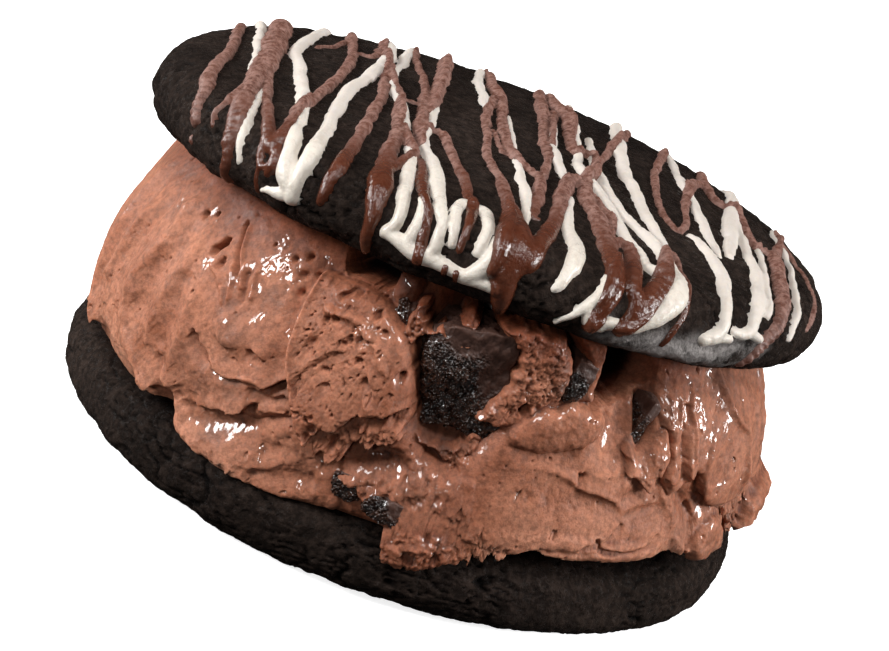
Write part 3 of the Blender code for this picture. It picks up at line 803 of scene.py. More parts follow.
def drumSide(azimuth, share):
    # distance from the axis of each place on the side, its drop, and what it is like there
    outX, outY = np.sin(np.radians(azimuth)), -np.cos(np.radians(azimuth))
    top = ceilingHeight(outX * 42, outY * 42)
    z = cookieThickness + (top - cookieThickness) * share
    p = np.stack([outX * drum["radius"], outY * drum["radius"], z], axis=1)
    taper = np.where(share > drum["belly"], drum["topTaper"], drum["footTaper"])
    reach = drum["radius"] - taper * (share - drum["belly"]) ** 2
    plain = reach.copy()
    edge = np.clip(1 - np.minimum(share, 1 - share) / drum["edgeRound"], 0, 0.999)
    reach -= drum["edgeInset"] * (1 - np.sqrt(1 - edge**2))
    for at, up, wide, tall, out, steep in swells.values():
        across = ((azimuth - at + 180) % 360 - 180) * mapScale / wide
        reach += out * np.exp(-((across**2 + ((z - up) / tall) ** 2) ** steep))
    reach += drum["softLump"] * softNoise(p, 14, 5) + 0.22 * softNoise(p, 5, 6)
    ground = reach.copy()

    broadU, broadV, fineU, fineV = [
        softNoise(p, size, seed) for size, seed in ((4.0, 21), (4.0, 22), (1.2, 23), (1.2, 24))]
    u, v = azimuth * mapScale, z
    drop = np.zeros(len(z))
    looks = {key: np.zeros(len(z)) for key in ("pits", "crumbs", "lumps", "wet")}
    looks["wet"] += 0.5
    for flap in flaps.values():
        torn = flap["torn"]
        outline = smoothPath(flap["outline"], 3, closed=True) * (mapScale, 1)
        d = insideDistance(u + torn * (broadU + 0.8 * fineU), v + torn * (broadV + 0.8 * fineV), outline)
        t = np.clip(d / flap["edge"], 0, 1)
        rise = t * t * (3 - 2 * t) if flap.get("soft") else np.sqrt(1 - (1 - t) ** 2)
        if flap.get("carve"):
            lifted = reach + (np.minimum(flap["reach"], reach) - reach) * rise
        elif "reach" in flap:
            lifted = np.maximum(reach, ground + (flap["reach"] - ground) * rise)
        else:
            tilt = 1 + flap.get("tip", 0) * (v - outline[:, 1].mean()) / np.ptp(outline[:, 1]) * 2
            lifted = smoothMax(reach, ground + flap["out"] * rise * tilt, 0.12)
        covers = d > 0
        drop = np.where(covers, np.maximum(drop * 0.5, flap.get("sag", 0) * t), drop)
        reach = np.where(covers, lifted, reach)
        inside = ramp(d, 0, flap["edge"] * 0.7)
        for key in looks:
            looks[key] = looks[key] * (1 - inside) + flap.get(key, 0.0) * inside
    wavyU, wavyV = u + 0.35 * broadU + 0.12 * fineU, v + 0.35 * broadV + 0.12 * fineV
    for path, halfWidth, out in strokes.values():
        reach += strokeLift(wavyU, wavyV, path, halfWidth, out)
    for at, up, wide, tall, out in bumps:
        reach += out * np.exp(-(((wavyU - at * mapScale) / wide) ** 2 + ((wavyV - up) / tall) ** 2))
    # painted shade: nearly black where the surface lies far below the plain drum, in the gaps under the top
    # cookie
    looks["deep"] = ramp(plain - reach, 3.0, 7.0) * ramp(share, 0.25, 0.4)
    # painted shade: darker close under the top cookie and in the middle, where shade falls; painted light:
    # paler towards the foot at the left and right
    paintedShade = ramp(share, 0.72, 0.97) * (1 - 0.6 * ramp(azimuth, 45, 58))
    paintedShade = np.maximum(paintedShade, 0.42 * np.exp(-((azimuth - 7) / 14) ** 4))
    paintedFootLight = (1 - ramp(share, 0.10, 0.46)) * np.maximum(1 - ramp(azimuth, -30, -16), ramp(azimuth, 12, 21))
    looks["tone"] = 0.5 + 0.5 * (paintedFootLight - paintedShade)
    looks["stainAndShade"] = np.zeros(len(z))
    for at, up, radius, strength in stainsAndShade:
        spot = np.exp(-(((u - at * mapScale) ** 2 + (v - up) ** 2) / radius**2) ** 1.5)
        looks["stainAndShade"] = np.maximum(looks["stainAndShade"], strength * spot * (1 + 0.5 * fineU))
    spotty = np.zeros(len(z))
    for at, up, radius, strength in wetSpots:
        spot = np.exp(-(((wavyU - at * mapScale) ** 2 + (wavyV - up) ** 2) / radius**2) ** 1.3)
        spotty = np.maximum(spotty, strength * spot * (1 + 0.4 * fineU))
    looks["wet"] = np.clip(np.maximum(looks["wet"] * 0.6, spotty), 0, 1)
    return reach, drop, looks, p


def drumRelief(p, looks):
    # fine shape of its surface in mm
    around = np.arctan2(p[:, 0], -p[:, 1]) * drum["radius"]
    turn = ramp(around, -6, 8)
    across = around * (1 - turn) + (p[:, 2] - 0.6 * around) * turn
    tilted = np.stack([across, 0.12 * (p[:, 2] + 0.6 * around * turn), np.zeros(len(p))], axis=1)
    p = p @ fineTurn
    warped = p + 0.35 * noises(p, 1.1, (71, 72, 73))
    patchy = softNoise(p, 3.5, 70)
    near, own = cellPattern(warped, 1.15, 61)
    pits = -0.55 * ramp(softNoise(warped, 0.9, 61) + 0.25 * patchy, 0.50, 0.75)
    pits -= 0.40 * ramp(softNoise(warped, 0.5, 62) + 0.2 * patchy, 0.36, 0.66)
    pits -= 0.16 * np.abs(softNoise(p, 0.42, 69)) + 0.12 * np.abs(softNoise(p, 0.9, 64))
    ridges = ((1.1, 2.1, 81), (0.8, 1.0, 82), (0.5, 0.5, 83))
    crumbs = sum(deep * (np.abs(softNoise(warped, size, seed)) - 0.25) for deep, size, seed in ridges)
    crumbs = crumbs - 0.35 * ramp(softNoise(warped, 1.0, 85), 0.45, 0.7)
    lump, _ = cellPattern(warped, 1.9, 63)
    lumps = 0.75 * (0.62 - lump**1.5) + 0.3 * softNoise(p, 0.9, 84)
    scrapes = 0.07 * softNoise(tilted, 1.9, 65) + 0.02 * softNoise(tilted, 0.8, 66)
    smooth = 1 - np.clip(looks["pits"] + looks["crumbs"] + looks["lumps"], 0, 1)
    sparse = -0.5 * ramp(own, 0.93, 0.96) * (1 - ramp(near, 0.08, 0.3))
    bubble, bubbleOwn = cellPattern(p, 0.8, 60)
    sparse -= 0.22 * ramp(bubbleOwn, 0.86, 0.90) * (1 - ramp(bubble, 0.08, 0.30))
    grain = np.abs(softNoise(warped, 0.55, 95)) + 0.6 * np.abs(softNoise(warped, 0.3, 96))
    grain = 0.026 * grain * ramp(fractal(p, 5.0, 2, 97), -0.35, 0.35)
    roll = 0.16 * fractal(p, 4.0, 3, 67) + 0.03 * softNoise(p, 0.8, 68)
    roll += looks["wet"] * (0.18 * softNoise(warped, 1.1, 91) + 0.09 * softNoise(warped, 0.5, 92))
    relief = pits * looks["pits"] + crumbs * looks["crumbs"] + lumps * looks["lumps"]
    return relief + (scrapes + sparse) * smooth + roll - grain


def drumPlace(azimuth, share, cap):
    # places of the whole surface: share runs from its foot to its top, and cap shrinks it towards the axis
    reach, drop, looks, p = drumSide(azimuth, share)
    reach += drumRelief(p, looks) * ramp(np.minimum(share, 1 - share), 0, 0.03)
    return reach * cap, drop, looks


def drumPoints(azimuth, share, reach, drop):
    x = reach * np.sin(np.radians(azimuth))
    y = -reach * np.cos(np.radians(azimuth))
    low = floorHeight(reach) - drum["sink"]
    high = ceilingHeight(x, y) + drum["sink"]
    height = low + (high - low) * share
    height = np.maximum(height - drop * ramp(share, 0.0, 0.2) * (1 - ramp(share, 0.9, 1.0)), low)
    return np.stack([x, y, height], axis=1)


def hollowness(mesh, p, rounds):
    # how far each point lies below the mean of its neighbours, in mm
    count = len(p)
    ends = np.zeros(len(mesh.edges) * 2, np.int32)
    mesh.edges.foreach_get("vertices", ends)
    a, b = ends.reshape(-1, 2).T
    degree = np.bincount(a, minlength=count) + np.bincount(b, minlength=count)
    soft = p.copy()
    for _ in range(rounds):
        total = [np.bincount(a, soft[b, k], count) + np.bincount(b, soft[a, k], count) for k in range(3)]
        soft = 0.5 * soft + 0.5 * np.stack(total, axis=1) / degree[:, None]
    normals = np.zeros(count * 3, np.float32)
    mesh.vertex_normals.foreach_get("vector", normals)
    return np.einsum("ij,ij->i", soft - p, normals.reshape(-1, 3))


def iceCreamMaterial():
    made, tree, skin, place = newMaterial("chocolateIceCream")
    cloudy = noiseNode(tree, place, 4, 4.0, 0.6)
    base = rampNode(tree, cloudy, ((0.32, (0.266, 0.092, 0.046)), (0.68, (0.410, 0.166, 0.095))))
    speck = rampNode(tree, noiseNode(tree, place, 0.40, 4.0, 0.75), ((0.38, 0.66), (0.60, 1.14)))
    base = mixColour(tree, 1.0, base, speck, "MULTIPLY")
    # stains darken the colour; the one on the back lobe is painted shade
    base = mixColour(tree, attributeNode(tree, "stainAndShade"), base, (0.075, 0.032, 0.020))
    hollow = attributeNode(tree, "hollow")
    # painted shade: darker in hollows and creases, and painted light: a little lighter on ridges
    paintedHollowShade = rampNode(tree, hollow, ((0.30, 1.12), (0.50, 1.0), (0.95, (0.40, 0.27, 0.21))))
    base = mixColour(tree, 1.0, base, paintedHollowShade, "MULTIPLY")
    # painted shade under the top cookie and in the middle, and painted light towards the foot
    tone = attributeNode(tree, "tone")
    tone = rampNode(tree, tone, ((0, (0.48, 0.33, 0.25)), (0.5, 1.0), (1, (1.20, 1.29, 1.36))))
    base = mixColour(tree, 1.0, base, tone, "MULTIPLY")
    # painted shade: nearly black in the deep gaps
    base = mixColour(tree, attributeNode(tree, "deep"), base, (0.0035, 0.0018, 0.0014))
    film = noiseNode(tree, place, 0.9, 3.0, 0.65)
    wet = mathNode(tree, "ADD", attributeNode(tree, "wet"), -1.05)
    filmy = mathNode(tree, "MULTIPLY_ADD", film, 1.3, wet)
    patch = mathNode(tree, "MULTIPLY", filmy, 6.0, clamped=True)
    dry = rampNode(tree, noiseNode(tree, place, 2.0, 4.0, 0.7), ((0.35, 0.48), (0.65, 0.78)))
    fine = bumpNode(tree, noiseNode(tree, place, 0.28, 4.0, 0.75), 0.08, 0.9)
    coarse = bumpNode(tree, noiseNode(tree, place, 1.2, 5.0, 0.62), 0.34, 0.9, fine)
    setInputs(tree, skin, {
        "Base Color": base, "Roughness": dry, "Coat Weight": patch, "Coat Roughness": 0.07,
        "Specular IOR Level": 0.28, "Subsurface Weight": 0.15, "Subsurface Radius": (1.0, 0.45, 0.30),
        "Subsurface Scale": 1.0 * mm, "Normal": coarse,
    })
    return made


def finishIceCream(mesh, place, looks, rounds):
    setPoints(mesh, place)
    close, broad = hollowness(mesh, place, rounds), hollowness(mesh, place, rounds * 5)
    # how hollow each point is, for the painted shade in hollows and painted light on ridges
    looks["hollow"] = 0.5 + 1.5 * close + 0.42 * broad
    for name in ("hollow", "wet", "stainAndShade", "deep", "tone"):
        addAttribute(mesh, name, np.clip(looks[name], 0, 1))


def makeIceCream(material):
    mesh, azimuth, level = ballMesh("iceCreamFilling", drum["columns"], drum["rings"])
    azimuth = crowd(azimuth, ((0, -180), (0.16, -95), (0.30, -66), (0.70, 66), (0.84, 95), (1, 180)))
    side = 1 - drum["capShare"]
    share = np.clip((level / side + 1) / 2, 0, 1)
    cap = np.where(np.abs(level) > side, (1 - np.abs(level)) / drum["capShare"], 1.0)
    reach, drop, looks = drumPlace(azimuth, share, cap)
    first, last = patches["Left"][0], patches["Right"][1]
    lap = drum["patchOverlap"]
    covered = ramp(azimuth, first, first + lap) * (1 - ramp(azimuth, last - lap, last)) * cap
    reach -= drum["underPatches"] * covered
    finishIceCream(mesh, drumPoints(azimuth, share, reach, drop), looks, 5)
    pieceFrom(mesh, "iceCreamFilling", material, ["ice_cream"])


def makePatch(name, first, last, material):
    # a finer wedge of the filling that overlaps its neighbours just under the surface
    lap = drum["patchOverlap"]
    mesh = meshOf(gridShape(drum["patchColumns"], drum["patchRows"]), name)
    co = pointsOf(mesh)
    azimuth = (first + last) / 2 + co[:, 0] * ((last - first) / 2 + lap)
    share = (co[:, 1] + 1) / 2
    reach, drop, looks = drumPlace(azimuth, share, 1.0)
    beyond = np.maximum(first - azimuth, azimuth - last)
    reach -= drum["patchSink"] * ramp(beyond, 0, lap)
    finishIceCream(mesh, drumPoints(azimuth, share, reach, drop), looks, 10)
    shape = bmesh.new()
    shape.from_mesh(mesh)
    rim = [edge for edge in shape.edges if edge.is_boundary]
    made = bmesh.ops.extrude_edge_only(shape, edges=rim)["geom"]
    inner = [item for item in made if isinstance(item, bmesh.types.BMVert)]
    bmesh.ops.pointmerge(shape, verts=inner, merge_co=middle)
    bmesh.ops.recalc_face_normals(shape, faces=shape.faces)
    shape.to_mesh(mesh)
    shape.free()
    pieceFrom(mesh, name, material, ["ice_cream"])


iceCreamSkin = iceCreamMaterial()
makeIceCream(iceCreamSkin)
for name, (first, last) in patches.items():
    makePatch("iceCream" + name, first, last, iceCreamSkin)


# brownie pieces: azimuth, distance from the axis, height and size, how far turned and how finely made
browniePieces = {
    "brownie_centre": {
        "azimuth": 7.6, "reach": 36.6, "height": 28.8, "size": (11.8, 9.6, 14.4), "turn": -8,
        "rounds": 180, "boxy": 0.7,
    },
    "brownie_upper": {"azimuth": -5.6, "reach": 38.0, "height": 33.6, "size": (4.6, 4.6, 3.8), "turn": 20},
    "brownie_beside_lobe": {
        "azimuth": 25.0, "reach": 38.9, "height": 32.8, "size": (3.4, 5.0, 6.2), "turn": 12,
    },
    "brownie_in_swirl": {
        "azimuth": 40.2, "reach": 39.6, "height": 28.9, "size": (2.1, 4.4, 6.4), "turn": 22,
    },
    "brownie_low_left": {
        "azimuth": -4.8, "reach": 41.4, "height": 12.9, "size": (3.9, 4.6, 3.6), "turn": -10,
    },
    "brownie_low_right": {
        "azimuth": 1.6, "reach": 42.4, "height": 12.2, "size": (4.8, 4.6, 3.4), "turn": 8,
    },
}


def brownieMaterial():
    made, tree, skin, place = newMaterial("moistBrownie")
    fudgy = attributeNode(tree, "fudgy")
    hollow = attributeNode(tree, "hollow")
    patch = noiseNode(tree, place, 1.4, 4.0, 0.65)
    base = rampNode(tree, patch, ((0.38, (0.0060, 0.0026, 0.0018)), (0.62, (0.0420, 0.0180, 0.0110))))
    base = mixColour(tree, fudgy, base, (0.052, 0.0225, 0.0150))
    # painted shade: darker in the brownie's hollows, and painted light: lighter on its ridges
    paintedHollowShade = rampNode(tree, hollow, ((0.30, 1.5), (0.50, 1.0), (0.80, 0.35)))
    base = mixColour(tree, 1.0, base, paintedHollowShade, "MULTIPLY")
    glint = rampNode(tree, noiseNode(tree, place, 0.35, 2.0, 0.7), ((0.48, 0.12), (0.66, 0.50)))
    speck = rampNode(tree, noiseNode(tree, place, 0.45, 2.0, 0.6), ((0.46, 0.0), (0.54, 1.0)))
    cells = addNode(tree, "ShaderNodeTexVoronoi", {"Vector": place, "Scale": 1 / (0.36 * mm)})
    rough = mathNode(tree, "MULTIPLY_ADD", fudgy, -0.92, 1.0)
    fine = bumpNode(tree, mathNode(tree, "MULTIPLY", cells.outputs["Distance"], rough), 0.50, 1.0)
    setInputs(tree, skin, {
        "Base Color": base, "Roughness": mixColour(tree, fudgy, glint, (0.62, 0.62, 0.62)),
        "Coat Weight": mixColour(tree, fudgy, speck, (0.05, 0.05, 0.05)), "Coat Roughness": 0.05,
        "Coat IOR": 1.7, "Specular IOR Level": 0.35,
        "Normal": bumpNode(tree, noiseNode(tree, place, 0.9, 4.0, 0.7), 0.24, 0.8, fine),
    })
    return made


def makeBrownie(node, piece, material, seed):
    size = np.array(piece["size"])
    rounds = piece.get("rounds", 64)
    mesh, azimuth, level = ballMesh(node, rounds * 2, rounds)
    angle, rise = np.radians(azimuth), level * math.pi / 2
    way = np.stack([np.sin(angle) * np.cos(rise), -np.cos(angle) * np.cos(rise), np.sin(rise)], axis=1)
    # from a ball to a broken block with rounded edges
    block = way / np.maximum(np.abs(way).max(axis=1), 1e-6)[:, None]
    boxy = piece.get("boxy", 0.54)
    p = (way * (1 - boxy) + block * boxy) * 0.51 * size
    away = 31 * seed + 50
    for n in range(7):
        facet = latticeAt(np.array([[n, seed, 3]]))[0, :3] * 2 - 1
        facet /= np.linalg.norm(facet)
        over = way @ facet - 0.72
        p -= facet * (np.clip(over, 0, 1) * 0.30 * size.min())[:, None]
    p *= (1 + 0.14 * softNoise(p + away, size.max() / 3, seed))[:, None]
    away = (p + away) @ fineTurn - p
    q = p + away + 0.3 * noises(p + away, 0.9, range(seed + 1, seed + 4))
    near, own = cellPattern(q, 1.25, seed + 80)
    tiny, _ = cellPattern(q, 0.48, seed + 81)
    upRight = 1.3 * (0.6 * p[:, 0] + p[:, 2]) / size.max()
    fudgy = ramp(0.45 * softNoise(p + away, 4.2, seed + 90) + upRight, 0.12, 0.34)
    crumbs = 0.62 * (0.55 - near) + 0.42 * (0.55 - tiny)
    crumbs -= 0.5 * ramp(own, 0.7, 0.9) * (1 - ramp(near, 0.15, 0.5))
    lift = crumbs * (1 - 0.9 * fudgy) + (0.22 + 0.3 * fudgy) * fractal(p + away, 2.6, 4, seed + 82)
    p += way * (lift * min(1, size.min() / 5))[:, None]
    a = math.radians(piece["azimuth"])
    tilt = Matrix.Rotation(a, 3, "Z") @ Matrix.Rotation(math.radians(piece["turn"]), 3, "Y")
    centre = (piece["reach"] * math.sin(a), -piece["reach"] * math.cos(a), piece["height"])
    setPoints(mesh, p @ np.array(tilt).T + centre)
    addAttribute(mesh, "fudgy", fudgy)
    # how hollow each point is, for the painted shade and painted light
    addAttribute(mesh, "hollow", np.clip(0.5 + 2.0 * hollowness(mesh, p, 8), 0, 1))
    name = "".join(word.capitalize() if n else word for n, word in enumerate(node.split("_")))
    pieceFrom(mesh, name, material, [node])


brownieSkin = brownieMaterial()
for number, (node, piece) in enumerate(browniePieces.items()):
    makeBrownie(node, piece, brownieSkin, number)


# drizzled chocolate, with the top laid out flat: each strand is right, back, half width and so on
whiteStrands = (
    (-37.5, 42, 0.8, -37, 30, 0.8, -36, 18, 0.8, -35, 8, 0.75, -34, 0, 0.6, -33, -12, 0.5),
    (-27.5, 47, 0.8, -28, 36, 0.9, -29.5, 22, 0.9, -30, 8, 1, -28.5, -1, 1.05, -27, -9.5, 1, -25.5, -17, 1,
     -24.4, -26, 1, -24, -32, 1.05, -23.4, -36, 1.05, -23.6, -38.4, 1.2, -23.6, -40, 1.3, -23, -41.6, 1),
    (-30, -20, 0.6, -30, -26.5, 0.75, -29.6, -31.5, 0.8, -30, -34, 0.65, -30.6, -36.6, 0.45),
    (-21, 47, 0.9, -20.4, 38, 1, -19.4, 26, 1.1, -19, 15, 1.15, -19.5, 6, 1.15, -20.2, -1.5, 1.1, -21, -10,
     1, -21, -19, 1, -20.8, -28, 1, -20.8, -36, 1.1, -21.2, -39, 1.2, -22, -41, 1.2, -22.8, -42.6, 1.1),
    (-22.6, -42.2, 1, -24.4, -42, 0.8, -26.4, -41.2, 0.5, -27.6, -41, 0.35),
    (-16, 44, 0.8, -17.2, 31, 0.85, -17, 17, 0.8, -17.4, 9, 0.8, -16, -2, 0.8, -14.6, -7, 0.85, -13, -15,
     0.85, -12, -21, 0.8, -11, -25, 0.8, -10.2, -30, 0.85, -9.6, -37, 0.9, -9.2, -41, 0.95, -9, -43, 0.9,
     -9.2, -45, 0.9, -10.2, -46.2, 0.9),
    (-12, 42, 0.7, -12, 29, 0.8, -11, 12, 0.7, -10.5, -4, 0.7, -10, -12, 0.75, -10, -20.5, 0.9, -8.5, -26.5,
     1, -7, -31, 1.15, -6, -36, 1.2, -5, -41, 1.05, -4.2, -43, 0.85, -4, -45, 0.8, -4, -47, 0.9),
    (-7, -40.6, 0.7, -6.6, -42, 0.8, -6.6, -44, 0.8, -7, -46, 0.85, -7.2, -47.4, 0.9),
    (-10.2, -46.2, 0.9, -7.6, -47.2, 1.2, -6, -47.8, 1.3, -4, -48.2, 1.2, -2, -48.4, 1, 0.4, -48.6, 1, 2,
     -47.4, 1.3, 2.6, -46, 1.3, 3, -43.5, 1.15, 3, -41, 0.9, 3, -37, 0.65, 1.6, -32, 0.4),
    (0.2, -49, 1, 2.4, -48.6, 1, 4.2, -48.4, 1),
    (-1.6, -37.2, 0.9, -2.8, -38, 0.95, -3, -41.6, 0.9, -2.4, -44, 0.75, -2.2, -45.6, 0.5),
    (-1.6, -37.4, 0.8, 0, -38, 0.95, 1, -41, 0.95, 1, -43.5, 0.8, 1, -45.4, 0.65),
    (-7, 44, 0.8, -7, 26, 0.9, -5.6, 15, 0.85, -4.4, 7, 0.5),
    (-1.4, 8, 0.4, -0.5, -3, 0.7, 0.5, -10, 0.65, 1.4, -15, 0.6, 2.2, -19, 0.6, 3, -23.5, 0.95, 4, -28, 0.9,
     4.6, -33, 0.65, 5, -36, 0.4),
    (9, -21, 0.6, 9.4, -28, 0.9, 10, -33, 1.1, 11.4, -37.5, 1.35, 11.6, -41, 1.25, 11.4, -42.6, 0.9, 11.2,
     -44, 0.75, 10.8, -45, 0.5),
    (6, 44, 0.7, 6, 32, 0.8, 7, 19, 0.85, 8, 6, 0.9, 8.6, 0, 0.9, 9, -6, 0.95, 11.5, -12, 0.95, 13, -15,
     0.9, 14.6, -19, 0.95, 16, -23.5, 1, 17, -26, 1.05, 19, -29.5, 1, 20, -31.6, 1, 21.2, -32.4, 1.3, 22.8,
     -33.4, 1.6, 24, -34.4, 1.7),
    (4.4, 14, 0.6, 5, 1, 0.9, 6, -6, 0.95, 7, -12, 0.9, 8, -16, 0.6),
    (9.5, 14, 0.6, 10.6, 3, 0.8, 12, -5.5, 0.9, 13.5, -12, 1, 15.5, -17, 1.05, 17.5, -20, 1.1, 19.5, -22.4,
     1.15, 21.2, -25, 1.15, 23, -30, 1.4, 24, -34, 1.7, 24, -36, 1.7, 23.8, -38, 1.5, 23.2, -40, 1.3, 21.6,
     -42.4, 1.1, 19.6, -43.8, 1, 18, -44.8, 0.9),
    (14.6, 47, 0.9, 13, 38, 1, 13.5, 20, 1.15, 14.5, 7, 1.15, 16, -1.5, 1.15, 18, -10, 1.05, 19.6, -16.5, 1,
     21.6, -21.6, 0.9),
    (19, 44, 0.7, 21, 30, 0.85, 22, 19.5, 0.85, 23, 13, 0.85, 24.6, 7, 0.85, 25.5, 0, 0.95, 26.5, -6, 0.95,
     28, -11, 0.85, 28.6, -15, 0.6),
    (24.6, -12.8, 0.6, 26, -14, 0.95, 28, -18, 1.15, 29.5, -23.5, 1.15, 30.2, -28.4, 1.1, 31, -31, 1, 31.6,
     -33, 1, 31.2, -34.6, 1.1, 30.6, -36, 0.9),
    (31.6, -34.6, 1, 33.4, -32.4, 0.7),
    (28, 38, 0.9, 30.5, 27, 1, 30.4, 16, 1.3, 30, 3, 1.35, 30, -7, 1.2, 30, -13, 0.7),
    (31, 8, 0.7, 32, -2, 0.95, 33, -9.5, 1, 34, -16, 1.05, 34.2, -23, 1.05, 34.6, -26.6, 1, 35, -28.6, 1,
     34.2, -30.2, 0.8, 33, -31.4, 0.6),
    (35.2, -28.8, 0.8, 37, -27.4, 0.7),
    (34, 0, 0.5, 34.6, -7, 0.7, 35, -14, 0.85, 35.5, -20, 0.75, 36, -24, 0.45),
    (36.6, 17, 0.5, 38, 6.5, 0.55, 38.8, -3, 0.55, 39.2, -9, 0.65, 40, -14, 0.75, 40.4, -17.5, 0.65, 41.2,
     -20.6, 0.4),
    (16.4, -36, 0.6, 16, -40, 0.8, 15.8, -42.4, 0.9, 15.4, -44.2, 0.85, 14.8, -45.6, 0.65, 14.2, -47, 0.45,
     13.8, -48.4, 0.35),
    (15.6, -44.6, 0.8, 17, -45.6, 0.9, 18.6, -45, 0.9),
)
